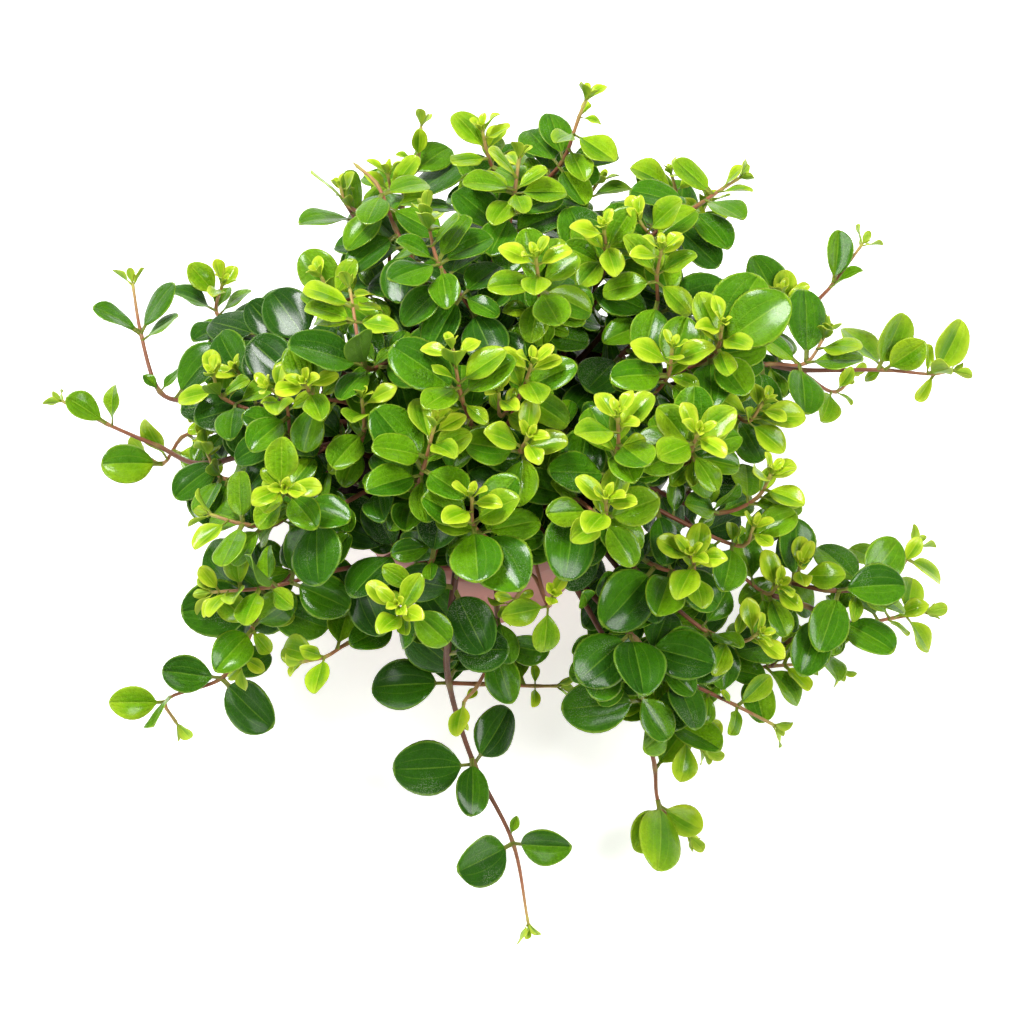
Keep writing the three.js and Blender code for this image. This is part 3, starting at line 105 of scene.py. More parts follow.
SHOOTS = [
    shoot("left_high", (72, 68, 68, 76, 92), "133,286", "141,334 115,316 157,303 161,319",
          "160,392 150,382 173,377", "188,402", "245,408"),
    shoot("left_far", (50, 52, 62, 76), "64,402", "107,424 84,408 107,400", "158,446", "205,464"),
    shoot("left_upper", -2, "222,286", "216,311 190,297 215,286 233,296",
          "285,343 263,318 300,320 268,352"),
    shoot("left_dark", -10, "238,372", "249,386 224,347 262,368 206,374"),
    shoot("left_middle", 0, "214,377", "222,397 198,390 238,386 226,382"),
    shoot("left_lower", -8, "206,412", "213,421 197,425 222,410",
          "250,412 232,436 262,400 228,404"),
    shoot("left_low", (46, 49, 58, 72), "149,458", "163,464 128,461 146,441", "182,437",
          "214,430", joins="left_lower"),
    shoot("left_low_dark", -18, "206,450", "222,478 204,462 208,498 248,468"),
    shoot("left_inner", 2, "272,390", "286,404 286,375 303,394 272,402",
          "297,460 286,433 310,450 300,480"),
    shoot("left_inner_high", 5, "306,384", "313,396 314,366 326,385", "352,404 358,420 330,436"),
    shoot("left_front", 0, "212,515", "243,524 239,494 264,516 230,547",
          "276,524 258,544 298,536"),
    shoot("left_front_inner", 3, "284,488", "283,490 271,478 272,503 297,507",
          "318,512 322,488 316,552"),
    shoot("lower_left", 3, "214,592", "270,587 266,559 282,598 236,574", "320,574",
          "398,552 382,517 352,529 367,584"),
    shoot("lower_left_low", -8, "241,664", "252,630 233,650 262,642",
          "264,602 216,608 298,618 208,562"),
    shoot("lower_left_trail", (22, 26, 34, 50), "176,722", "165,702 135,703 147,726 172,716",
          "222,678 187,674 248,707 250,660", "246,640", joins="lower_left_low"),
    shoot("front_left", -8, "303,662", "325,657 306,655 318,676", "348,643",
          "398,622 367,642 436,648 384,679"),
    shoot("front_left_inner", 4, "398,606", "403,614 411,594 390,603 404,627",
          "432,560 428,580 446,520"),
    shoot("front_trailer", (8, 16, 28, 62, 88), "528,922", "513,843 482,860 544,847 516,835",
          "474,764 428,769 497,732 476,795", "449,683", "448,640"),
    shoot("front_side", (60, 62, 62), "556,686", "535,686 535,676 535,697", "480,684",
          joins="front_trailer"),
    shoot("front_middle", (58, 60, 66, 74, 90), "463,716", "464,702 459,720 470,692", "476,688",
          "495,648 503,679 478,622 526,655", "497,606"),
    shoot("front_right_dark", -20, "552,596", "548,606 524,612 564,631"),
    shoot("front_bud", (96, 98, 102), "510,604", "516,599 504,597 525,592", "531,574",
          joins="front_right_dark"),
    shoot("top_left", (112, 110, 112, 112), "341,190", "346,204 321,182 352,182 334,193",
          "374,220", "404,246 361,241 382,223 396,268"),
    shoot("top_left_dark", (98, 96), "352,205", "356,220 324,218 352,190", joins="top_left"),
    shoot("top_left_cut", (134, 132, 130, 124), "357,166", "376,183", "395,228", "422,280",
          bare=True),
    shoot("top_left_pale", (126, 120, 112), "388,176", "391,193 405,171 377,180", "390,225"),
    shoot("top_dark", (112, 108, 100), "421,128", "418,158 420,138 408,150",
          "402,206 437,178 430,202"),
    shoot("top_middle_low", 8, "427,214", "438,262 453,234 415,248 440,281",
          "478,322 452,300 496,296 456,340"),
    shoot("top", (128, 122, 108), "483,133", "487,152 470,124 491,125 465,153",
          "500,196 478,172 512,152"),
    shoot("top_middle", (138, 132, 120), "519,160", "515,190 487,182 503,204 533,176",
          "508,236 543,218 478,208 508,254 482,241"),
    shoot("top_back", (138, 134, 124, 112), "585,102", "579,117 583,103 594,112",
          "563,161 556,131 595,156 579,182", "537,193"),
    shoot("top_right_dark", (100, 96), "598,182", "588,198 612,186 570,214"),
    shoot("back_middle", 8, "536,260", "539,285 532,252 561,264 511,284",
          "538,306 541,328 570,300"),
    shoot("back_left", 0, "350,290", "366,367 355,327 322,352 380,356 348,382",
          "392,364 400,344 430,340"),
    shoot("back_left_low", -6, "322,278", "334,300 345,276 312,268 300,296",
          "384,296 372,270 396,318"),
    shoot("back_right", 4, "604,230", "606,252 622,226 592,236", "602,276 583,232 618,268"),
    shoot("back_right_high", (118, 116, 122, 124), "738,179", "722,189 736,175 742,187",
          "700,204", "648,240"),
    shoot("back_right_outer", (112, 108, 104), "706,204", "697,222 692,205 716,214",
          "676,238 682,203 701,243 660,212"),
    shoot("back_right_far", (116, 112, 106), "672,176", "676,192 652,174 688,181", "676,214",
          joins="back_right_outer"),
    shoot("back_right_low", 0, "640,222", "652,246 626,222 630,242 664,228"),
    shoot("back_right_inner", 8, "661,252", "657,275 641,251 679,262",
          "655,316 622,298 628,326 698,294"),
    shoot("right_upper", 4, "783,296", "785,320 769,280 797,290", "766,342 752,328 748,360"),
    shoot("right_up", (92, 88, 92), "826,334", "806,363 808,312 783,343 838,358 812,389",
          "770,364"),
    shoot("right_up_tip", (80, 80, 84), "861,246", "833,284 838,253 852,272", "812,310",
          joins="right_up"),
    shoot("right_far", (62, 64, 68, 80, 94), "950,371", "934,374 953,345 936,357 932,390 956,383",
          "884,370 862,343 907,338 868,377 920,365", "800,370", "745,364"),
    shoot("right_small", (66, 68, 78), "852,378", "836,392 846,378 846,397 832,409", "812,380",
          joins="right_far"),
    shoot("right_back_cluster", 8, "722,326", "718,348 709,322 742,304 762,314 725,363",
          "702,362 742,356 690,340"),
    shoot("right_cluster", -2, "762,404", "748,422 768,409 777,427", "720,404 722,418 744,386"),
    shoot("right_middle", 10, "698,434", "692,448 673,424 694,410 712,433 664,457",
          "688,464 706,466 678,474 724,452"),
    shoot("right_edge", 2, "770,476", "758,497 767,478 785,492",
          "718,513 707,520 753,519 744,490"),
    shoot("right_low_inner", 0, "753,528", "743,546 752,526 763,540"),
    shoot("right_low", 0, "800,566", "793,583 797,546 838,569 828,610",
          "758,558 766,570 736,566"),
    shoot("right_low_far", (58, 60, 66, 74), "914,547", "903,564 913,549 895,547",
          "862,588 884,560 888,599 862,606", "826,590", joins="right_low"),
    shoot("right_low_bud", -6, "777,586", "768,594 785,612 778,584 801,618", "735,570"),
    shoot("right_low_end", (42, 44, 54, 70), "922,613", "893,618 912,609 906,626",
          "851,624 868,635 838,606 832,640", "806,606", joins="right_low_bud"),
    shoot("front_right_outer", -12, "800,664", "772,666 796,656 806,672",
          "716,668 745,671 706,690"),
    shoot("right_low_under", (34, 38, 52), "836,668", "815,645 830,663 846,653", "790,640",
          joins="front_right_outer"),
    shoot("front_right_middle", 3, "757,634", "744,641 761,630 748,626",
          "708,632 693,620 724,609 731,651"),
    shoot("front_right_upper", 5, "692,556", "692,572 687,552 704,556 699,590",
          "655,566 624,604 618,549 676,588"),
    shoot("front_right_low", (46, 50, 66, 88), "772,724", "737,706 757,690 735,722 732,700",
          "670,672 634,676 688,702 686,651 708,664", "636,640"),
    shoot("front_right_under", (38, 46, 66, 84), "700,748", "668,722 698,734 654,744 676,704",
          "644,700 594,706 588,672", "612,650"),
    shoot("front_right_trailer", (12, 18, 34, 52), "686,834", "660,806 650,830 664,842 684,817",
          "655,768", "650,730", joins="front_right_under"),
    shoot("centre", 6, "453,350", "461,396 424,362 489,372 446,390", "470,420"),
    shoot("centre_back", -6, "531,366", "522,392 551,374 536,378 512,366",
          "508,424 534,411 562,414"),
    shoot("centre_bud", -8, "499,394", "501,416 496,402 505,404", joins="centre_back"),
    shoot("centre_left", 8, "434,428", "423,470 398,433 436,434 392,477 447,484",
          "412,500 440,512 404,530"),
    shoot("centre_front", 9, "472,498", "474,526 446,508 498,497 476,556 502,562",
          "500,546 532,548 526,520"),
    shoot("centre_right_back", 5, "672,350", "668,376 637,374 685,381 679,340",
          "645,400 616,394 636,344 656,420"),
    shoot("centre_right", 6, "618,418", "618,448 620,424 634,438 606,436",
          "610,476 640,470 632,500"),
    shoot("centre_low", 9, "606,500", "604,520 600,500 634,507",
          "574,498 540,487 585,456 572,542"),
    shoot("centre_dark", -12, "528,438", "520,452 488,446 532,440", "560,436 566,414 590,400"),
    shoot("centre_far_left", -10, "362,400", "364,432 346,450 366,386", "350,480 334,506 366,500",
          joins="left_front_inner"),
]


def draw(a, b):
    """Repeatable draw between 0 and 1 for item a, use b."""
    wave = math.sin(a * 12.9898 + b * 78.233 + 4.137) * 43758.5453
    return wave - math.floor(wave)


def mix(a, b, share):
    return a + (b - a) * share


def clamp(value, low, high):
    return min(high, max(low, value))


def ease(value):
    value = clamp(value, 0, 1)
    return value * value * (3 - 2 * value)


def add(a, b, k=1.0):
    return (a[0] + b[0] * k, a[1] + b[1] * k, a[2] + b[2] * k)


def sub(a, b):
    return (a[0] - b[0], a[1] - b[1], a[2] - b[2])


def dot(a, b):
    return a[0] * b[0] + a[1] * b[1] + a[2] * b[2]


def cross(a, b):
    return (a[1] * b[2] - a[2] * b[1], a[2] * b[0] - a[0] * b[2], a[0] * b[1] - a[1] * b[0])


def times(a, k):
    return (a[0] * k, a[1] * k, a[2] * k)


def length(a):
    return math.sqrt(dot(a, a))


def unit(a):
    return times(a, 1 / (length(a) or 1))


def lerp(a, b, share):
    return add(a, sub(b, a), share)


RISE = math.radians(VIEW["elevation"])
EYE = (VIEW["x"], -math.cos(RISE) * VIEW["distance"],
       VIEW["height"] + math.sin(RISE) * VIEW["distance"])


def on_ray(pixel, height):
    """Point at a given height on the ray of a pixel."""
    scale = VIEW["width"] / VIEW["frame"]
    across = (pixel[0] - VIEW["frame"] / 2) * scale
    up = (VIEW["frame"] / 2 - pixel[1]) * scale
    on_picture = (VIEW["x"] + across, up * math.sin(RISE), VIEW["height"] + up * math.cos(RISE))
    ray = sub(on_picture, EYE)
    return add(EYE, ray, (height - EYE[2]) / ray[2])


def pixel_of(point):
    """Pixel at which a point is seen."""
    scale = VIEW["width"] / VIEW["frame"]
    y, z = point[1], point[2] - VIEW["height"]
    depth = VIEW["distance"] - (z * math.sin(RISE) - y * math.cos(RISE))
    up = (y * math.sin(RISE) + z * math.cos(RISE)) * VIEW["distance"] / depth
    across = (point[0] - VIEW["x"]) * VIEW["distance"] / depth
    return VIEW["frame"] / 2 + across / scale, VIEW["frame"] / 2 - up / scale


def dome_height(x, y):
    """Height of the leafy dome over a place."""
    out = math.hypot(x - CANOPY["x"], y) / CANOPY["radius"]
    return CANOPY["top"] - CANOPY["fall"] * out ** CANOPY["power"]


def under_dome(pixel, depth):
    """Point of a pixel's ray that lies a given depth under the dome."""
    low, high = CANOPY["lowest"], CANOPY["top"] + 30
    for _ in range(30):
        middle = (low + high) / 2
        point = on_ray(pixel, middle)
        if dome_height(point[0], point[1]) - depth > middle:
            low = middle
        else:
            high = middle
    return on_ray(pixel, low)


def place_stations(entry, attempt):
    """Points of a shoot's places on their rays, moved along them by an attempt."""
    shift = ((attempt * 7 + 5) % 11 - 5) * STEM["slip"]
    placed, lies = [], entry["lies"]
    for i, (at, *leaves) in enumerate(entry["stations"]):
        if isinstance(lies, tuple):
            point = on_ray(at, lies[i] + shift * 0.6)
        else:
            point = under_dome(at, DEPTHS[i] - lies - shift)
        placed.append((point, leaves))
    return placed


def curve_point(route, t):
    """Point of a smooth curve through the route, at a share t of its spans."""
    last = len(route) - 1
    p = last * t
    i = math.floor(p)
    w = p - i
    if w == 0 and i == last:
        i, w = last - 1, 1
    p1, p2 = route[i], route[i + 1]
    p0 = route[i - 1] if i > 0 else add(sub(route[0], route[1]), route[0])
    p3 = route[i + 2] if i + 2 <= last else add(sub(route[last], route[last - 1]), route[last])
    dt0, dt1, dt2 = (dot(sub(a, b), sub(a, b)) ** 0.25 for a, b in ((p0, p1), (p1, p2), (p2, p3)))
    dt1 = 1.0 if dt1 < 1e-4 else dt1
    dt0 = dt1 if dt0 < 1e-4 else dt0
    dt2 = dt1 if dt2 < 1e-4 else dt2
    point = []
    for x0, x1, x2, x3 in zip(p0, p1, p2, p3):
        t1 = ((x1 - x0) / dt0 - (x2 - x0) / (dt0 + dt1) + (x2 - x1) / dt1) * dt1
        t2 = ((x2 - x1) / dt1 - (x3 - x1) / (dt1 + dt2) + (x3 - x2) / dt2) * dt1
        c2, c3 = -3 * x1 + 3 * x2 - 2 * t1 - t2, 2 * x1 - 2 * x2 + t1 + t2
        point.append(x1 + t1 * w + c2 * w * w + c3 * w * w * w)
    return tuple(point)


def nearest_vertex(stem, place):
    """Vertex of a stem that lies nearest to a place, short of its ends."""
    return min(range(2, max(3, len(stem["points"]) - 2)),
               key=lambda i: length(sub(stem["points"][i], place)))


def trace_stem(entry, index, start, opening, stations):
    """Steps a smooth stem through its opening points and its stations."""
    route = opening + [point for point, _ in stations]
    points, nodes, fine = list(start), [], list(start)
    spans = len(route) - 1
    first = len(route) - len(stations)
    for i in range(spans + 1):
        if i >= first:
            nodes.append((len(points), stations[i - first][1]))
        if i == spans:
            points.append(route[i])
            fine.append(route[i])
        else:
            gap = length(sub(route[i + 1], route[i]))
            steps = max(1, math.floor(gap / STEM["step"]))
            points += [curve_point(route, (i + j / steps) / spans) for j in range(steps)]
            more = max(2, math.ceil(gap / STEM["fine_step"]))
            fine += [curve_point(route, (i + j / more) / spans) for j in range(more)]
    bud = times(unit(sub(points[-1], points[-2])), STEM["bud"])
    points.append(add(points[-1], bud))
    fine.append(points[-1])
    far = [0.0] * len(points)
    for i in range(len(points) - 2, -1, -1):
        far[i] = far[i + 1] + length(sub(points[i + 1], points[i]))
    return dict(entry=entry, index=index, family=entry["joins"] or entry["name"],
                points=points, nodes=nodes, far=far, fine=fine)


def lay_stem(entry, index, attempt, parent):
    """The nth way of laying a stem, from its foot in the soil or on its parent."""
    stations = place_stations(entry, attempt)[::-1]
    inner = stations[0][0]
    if parent:
        joint = nearest_vertex(parent, inner)
        return trace_stem(entry, index, [], [parent["points"][joint]], stations)
    out = math.hypot(inner[0], inner[1])
    angle = math.atan2(inner[1], inner[0])
    radius = clamp(out * SOIL["share"] + SOIL["inner"], 0, SOIL["reach"])
    drift = SOIL["drift"] * math.sqrt(attempt % SOIL["rounds"])
    x = math.cos(angle) * radius + math.cos(attempt * SOIL["turn"]) * drift
    y = math.sin(angle) * radius + math.sin(attempt * SOIL["turn"]) * drift
    size = math.hypot(x, y)
    held = clamp(size, 2, SOIL["reach"]) / (size or 1)
    x, y = x * held, y * held
    foot = (x, y, SOIL["top"] - SOIL["hole"] + SOIL["clearance"])
    opening = [(x, y, SOIL["top"] + SOIL["collar"])]
    if out > POT["rim"] - STEM["rim_zone"]:
        over = POT["rim"] - STEM["over"]
        swing = mix(-STEM["swing"], STEM["swing"], draw(index, 300 + attempt)) if attempt else 0
        toward = math.atan2(inner[1] - y * 0.3, inner[0] - x * 0.3) + swing
        lowest = POT["height"] + STEM["over"] + STEM["highest"] * draw(index, 3 + attempt)
        height = max(lowest, mix(POT["height"], inner[2], 0.7))
        opening.append((math.cos(toward) * over, math.sin(toward) * over, height))
    return trace_stem(entry, index, [foot], opening, stations)


def frames_along(points):
    """Frames carried along a stem without twist: tangent, side and up."""
    up, last, frames = (0.0, 1.0, 0.0), len(points) - 1, []
    for i in range(len(points)):
        tangent = unit(sub(points[min(i + 1, last)], points[max(i - 1, 0)]))
        up = unit(add(up, tangent, -dot(tangent, up)))
        frames.append((tangent, cross(up, tangent), up))
    return frames


def slide(points, i, shift):
    """Point of a stem at a distance before or after one of its vertices."""
    other = points[i - 1] if shift < 0 else points[i + 1]
    return add(points[i], unit(sub(other, points[i])), abs(shift))


def turn_between(a, b):
    """Angle from a to b the short way round."""
    return math.atan2(math.sin(b - a), math.cos(b - a))


def leaf_from(stem, vertex, direction, reach, facing, ident):
    """A leaf on a stem's vertex, before it is held in one way or another."""
    azimuth = math.atan2(direction[1], direction[0])
    tilt = math.asin(clamp(direction[2] / length(direction), -1, 1))
    return dict(stem=stem, vertex=vertex, root=stem["points"][vertex], azimuth=azimuth,
                tilt=tilt, reach=reach, facing=facing, id=ident)


def hold_leaf(leaf, attempt):
    """The nth way of holding a leaf: raised or lowered, then turned, then smaller."""
    sign = 1 if attempt % 2 == 1 else -1
    step = math.ceil(attempt / 2)
    tilt = leaf["tilt"] + sign * step * math.radians(7)
    azimuth = leaf["azimuth"] + (sign * (step - 3) * math.radians(6) if attempt > 6 else 0)
    reach = leaf["reach"] * (1 - 0.018 * attempt)
    level = math.cos(tilt)
    along = (math.cos(azimuth) * level, math.sin(azimuth) * level, math.sin(tilt))
    up = unit(add(leaf["facing"], along, -dot(along, leaf["facing"])))
    young = 1 - ease((reach - 9) / 16)
    ident = leaf["id"]
    blade = reach * (1 - LEAF["petiole"])
    return dict(leaf, along=along, up=up, side=cross(up, along), reach=reach,
                petiole=reach * LEAF["petiole"],
                half=blade * mix(0.41, 0.3, young) * mix(0.92, 1.08, draw(ident, 21)),
                bias=mix(0.94, 1.22, young),
                droop=mix(0.05, 0.2, draw(ident, 22)) * mix(1, 0.7, young),
                fold=mix(0.12, 0.34, draw(ident, 23)) * mix(1, 1.5, young), young=young)


def leaf_tip(leaf):
    """Point of a held leaf, drooped."""
    end = add(leaf["root"], leaf["along"], leaf["reach"])
    return add(end, leaf["up"], -leaf["droop"] * leaf["reach"])


def facing_at(stem, vertex):
    """Which way a whorl faces: between the stem's own direction and straight up."""
    points = stem["points"]
    along = unit(sub(points[min(vertex + 1, len(points) - 1)], points[vertex - 1]))
    return unit(lerp(along, (0, 0, 1), LEAF["upward"]))


def around(axis, angle):
    """Unit vector across an axis, at an angle round it."""
    side = unit(cross((0, 1, 0), axis))
    other = cross(axis, side)
    return add(times(side, math.cos(angle)), other, math.sin(angle))


def spread_from(axis, across, angle):
    """Direction at an angle to an axis, on the side of a unit vector across it."""
    return add(times(across, math.sin(angle)), axis, math.cos(angle))


def seen_leaves(stem):
    """Leaves seen at a stem's stations, aimed at their pixels."""
    leaves = []
    for order, (vertex, pixels) in enumerate(stem["nodes"]):
        from_tip = len(stem["nodes"]) - 1 - order
        root = stem["points"][vertex]
        facing = facing_at(stem, vertex)
        for i, pixel in enumerate(pixels):
            level = on_ray(pixel, root[2])
            lean = math.radians(LEAF["leans"][min(from_tip, len(LEAF["leans"]) - 1)])
            middle = on_ray(pixel, root[2] + length(sub(level, root)) * math.tan(lean))
            direction = sub(middle, root)
            reach = clamp(length(direction) / LEAF["middle"], LEAF["tip"], LEAF["longest"])
            ident = stem["index"] * SERIES["stem"] + order * 10 + i
            leaves.append(leaf_from(stem, vertex, direction, reach, facing, ident))
    return leaves


def tip_leaves(stem, turn=0, first="tip", size=1.0, opening=LEAF["opening"]):
    """A pair of small leaves at a shoot's tip."""
    vertex = len(stem["points"]) - 2
    axis = unit(sub(stem["points"][vertex + 1], stem["points"][vertex]))
    start = draw(stem["index"], 7) * 360 + turn
    leaves = []
    for i in range(2):
        across = around(axis, math.radians(start + i * 160))
        direction = spread_from(axis, across, math.radians(opening))
        reach = LEAF["tip"] * mix(0.9, 1.35, draw(stem["index"], 11 + i)) * size
        ident = stem["index"] * SERIES["stem"] + SERIES[first] + i
        leaves.append(leaf_from(stem, vertex, direction, reach, axis, ident))
    return leaves


def lower_leaves(stem):
    """Whorls that carry on along the stem behind the ones that are seen."""
    leaves, points, far = [], stem["points"], stem["far"]
    first = stem["nodes"][0][0]
    last, count = far[first], 0
    for i in range(first - 1, 1, -1):
        if count >= WHORL["most"]:
            break
        x, y, z = points[i]
        if (far[i] - last < WHORL["spacing"] or math.hypot(x, y) > WHORL["reach"]
                or z < SOIL["top"] + WHORL["lowest"]):
            continue
        last = far[i]
        count += 1
        facing = facing_at(stem, i)
        start = draw(stem["index"], 31) * 360 + count * WHORL["turn"]
        for j in range(WHORL["leaves"]):
            ident = stem["index"] * SERIES["stem"] + SERIES["lower"] + count * 10 + j
            tilt = math.radians(mix(-4, 16, draw(ident, 5)))
            across = around(facing, math.radians(start + j * 120 + 20 * draw(ident, 6)))
            direction = add(times(across, math.cos(tilt)), facing, math.sin(tilt))
            grown = 1 - math.exp(-far[i] / LEAF["growth"])
            reach = mix(LEAF["tip"], LEAF["full"], grown) * mix(0.85, 1.12, draw(ident, 8))
            leaves.append(leaf_from(stem, i, direction, reach, facing, ident))
    return [leaf for leaf in leaves if not hides_pot(leaf)]


def set_tiers(stem, leaves):
    """Shares a whorl's leaves out in tiers, so that no two in a tier are close."""
    frames, tiers, kept = frames_along(stem["points"]), {}, []
    for leaf in leaves:
        _, side, up = frames[leaf["vertex"]]
        along = hold_leaf(leaf, 0)["along"]
        angle = math.atan2(dot(along, up), dot(along, side))
        rows = tiers.setdefault(leaf["vertex"], [[], [], []])
        apart = math.radians(LEAF["tier_angle"])
        free = next((k for k, row in enumerate(rows) if len(row) < 3 and all(
            abs(turn_between(other, angle)) > apart for other in row)), None)
        if free is not None:
            rows[free].append(angle)
            leaf["root"] = slide(stem["points"], leaf["vertex"], -free * LEAF["tier_step"])
            kept.append(leaf)
    return kept


def in_window(point, edge=0):
    """Whether a point is seen in front of the stretch of pot wall that shows."""
    x, y = pixel_of(point)
    return (abs(x - WINDOW["x"]) < WINDOW["half_x"] - edge
            and abs(y - WINDOW["y"]) < WINDOW["half_y"] - edge)


def hides_pot(leaf):
    """Whether a leaf's middle is seen in front of the pot wall that shows."""
    held = hold_leaf(leaf, 0)
    u = held["reach"] * LEAF["middle"]
    middle = add(held["root"], held["along"], u)
    return in_window(add(middle, held["up"], -held["droop"] * u * u / held["reach"]))


class Corners:
    """Corners of a node's solid; a stem or a leaf is held in the way that ends on one."""

    def __init__(self, node):
        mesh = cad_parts[node].data
        self.tree = KDTree(len(mesh.vertices))
        for i, vertex in enumerate(mesh.vertices):
            self.tree.insert(vertex.co, i)
        self.tree.balance()

    def near(self, point, slack=0.03):
        return self.tree.find(Vector(point) * MM)[2] < slack * MM


def match_plant():
    """Stems and leaves as the solids have them, by the first way of holding each that fits."""
    stems, leaves, corners = [], [], {}
    for index, entry in enumerate(SHOOTS):
        parent = next((s for s in stems if s["entry"]["name"] == entry["joins"]), None)
        family = entry["joins"] or entry["name"]
        if family not in corners:
            corners[family] = Corners("stem_" + family)
        near = corners[family].near
        for attempt in range(STEM["tries"]):
            stem = lay_stem(entry, index, attempt, parent)
            if near(stem["points"][-1]) and (parent or near(stem["points"][0])):
                stems.append(stem)
                break
    for rule in (seen_leaves, tip_leaves, lower_leaves):
        for stem in stems:
            if stem["entry"]["bare"] and rule is not seen_leaves:
                continue
            for leaf in set_tiers(stem, rule(stem)):
                ways = (hold_leaf(leaf, attempt) for attempt in range(LEAF["tries"]))
                near = corners[stem["family"]].near
                leaves += next(([held] for held in ways if near(leaf_tip(held))), [])
    return stems, leaves


stems, leaves = match_plant()


# ---- Finer forms of the stems and leaves ----
# Shares of the blade's length at which it has a ring of points, and points across it
ROWS = (0.0, 0.035, 0.09, 0.17, 0.27, 0.38, 0.49, 0.6, 0.71, 0.81, 0.89, 0.95, 0.985)
ACROSS = 8
STALK = dict(share=0.034, least=0.32, most=0.72, rings=3)
BLADE = dict(share=0.018, least=0.2, most=0.46, under=-0.8, crease=0.04, soft=0.12)
SHOOT = dict(sides=10, tip=0.5, foot=1.26, joint=0.28, spread=2.2, square=0.07)
ring_x = np.concatenate([-np.cos(np.pi * np.arange(ACROSS + 1) / ACROSS),
                         np.cos(np.pi * np.arange(1, ACROSS) / ACROSS)])
ring_lift = np.sqrt(np.clip(1 - ring_x ** 2, 0, 1))
ring_lift[ACROSS + 1:] *= BLADE["under"]


def layers(rows, *values):
    """Four colour channels for each point of the rings; a value is one number, or an
    array that spreads over the rings or their points."""
    return np.stack([np.broadcast_to(value, rows.shape[:2]) for value in values], axis=-1)


class Form:
    """Gathers the points, faces and growth values of one leafy stem."""

    def __init__(self):
        self.points, self.faces, self.kinds = [], [], []
        self.blade, self.growth, self.count = [], [], 0

    def rings(self, rows, tip, blade, growth, kind):
        """Skins a run of rings, from a flat cap on the first to a point at the tip. Leaves,
        of kind 1, have their rings the other way round than stems, of kind 0."""
        n_rows, n = rows.shape[:2]
        start, end = self.count, self.count + n_rows * n
        self.points += [rows.reshape(-1, 3), np.array([tip], float)]
        for gathered, values in ((self.blade, blade), (self.growth, growth)):
            gathered += [values.reshape(-1, 4), values[-1:, :1].reshape(1, 4)]
        self.count = end + 1
        faces = [(a + j, a + k, a + n + k, a + n + j) for a in range(start, end - n, n)
                 for j, k in zip(range(n), [*range(1, n), 0])]
        faces.append(tuple(range(start, start + n))[::-1])
        faces += [(end - n + j, end - n + (j + 1) % n, end) for j in range(n)]
        if kind == 1:
            faces = [(face[0], *face[:0:-1]) for face in faces]
        self.faces += faces
        self.kinds += [kind] * len(faces)

    def mesh(self, name):
        mesh = bpy.data.meshes.new(name)
        mesh.from_pydata((np.concatenate(self.points) * MM).tolist(), [], self.faces)
        mesh.polygons.foreach_set("use_smooth", [True] * len(self.faces))
        mesh.polygons.foreach_set("material_index", self.kinds)
        for title, rows in (("blade", self.blade), ("growth", self.growth)):
            layer = mesh.attributes.new(title, "FLOAT_COLOR", "POINT")
            layer.data.foreach_set("color", np.concatenate(rows).astype(np.float32).ravel())
        mesh.update()
        return mesh


def grow_leaf(form, leaf, age, onto=None):
    """One closed leaf: a short round stalk that widens into a folded, drooping blade."""
    reach, petiole, half, ident = leaf["reach"], leaf["petiole"], leaf["half"], leaf["id"]
    root, along = np.array(leaf["root"]), np.array(leaf["along"])
    side, up = np.array(leaf["side"]), np.array(leaf["up"])
    t = np.array(ROWS)
    s = t ** (leaf["bias"] * mix(1.0, 1.2, draw(ident, 45)))
    width = half * (4 * s * (1 - s)) ** (0.72 - 0.18 * t)
    stalk = clamp(reach * STALK["share"], STALK["least"], STALK["most"])
    width[:3] = np.maximum(width[:3], stalk)
    thick = np.full(len(t), clamp(reach * BLADE["share"], BLADE["least"], BLADE["most"]))
    thick[:3] = np.maximum(thick[:3], stalk * np.array([0.9, 0.75, 0.6]))
    u = petiole + t * (reach - petiole)
    u = np.concatenate([[0, petiole * 0.5], u])
    width = np.concatenate([[stalk * 1.25, stalk], width])
    thick = np.concatenate([[stalk * 1.1, stalk * 0.95], thick])
    share = np.concatenate([[0, 0], t])
    # The blade folds along its middle, arches across, droops, curls and waves
    v, young = width[:, None] * ring_x, leaf["young"]
    crease = BLADE["crease"] * half + BLADE["soft"]
    rise = leaf["fold"] * mix(1.5, 1.2, young) * (np.sqrt(v ** 2 + crease ** 2) - crease)
    crown = mix(0.18, 0.05, young) * mix(0.6, 1.5, draw(ident, 41))
    rise = rise - crown * v ** 2 / (half + 0.1) - leaf["droop"] * (u ** 2)[:, None] / reach
    curl = mix(0.03, 0.12, young) * mix(-0.4, 1.0, draw(ident, 44)) * reach
    rise = rise - curl * (np.clip(share - 0.6, 0, 1) ** 2 * 6)[:, None]
    wave = mix(0.03, 0.07, young) * reach * mix(0.3, 1.0, draw(ident, 42))
    phase = 6.28 * draw(ident, 43)
    rise = rise + wave * np.sin(share * 7 + phase)[:, None] * ring_x * np.abs(ring_x)
    rise = rise + thick[:, None] * ring_lift
    middle = root + along * u[:, None]
    rows = middle[:, None, :] + v[:, :, None] * side + rise[:, :, None] * up
    tip = root + along * reach - up * (leaf["droop"] * reach + curl * 0.96)
    if onto is not None:
        fade = np.clip(1 - u / reach, 0, 1) ** 2
        rows = rows + fade[:, None, None] * (np.array(onto) - root)
    on_stalk = (np.arange(len(u)) < STALK["rings"])[:, None]
    blade = layers(rows, share[:, None], ring_x * 0.5 + 0.5, half / 12, on_stalk)
    growth = layers(rows, age, draw(ident, 51), ring_lift >= -1e-6, 0)
    form.rings(rows, tip, blade, growth, 1)


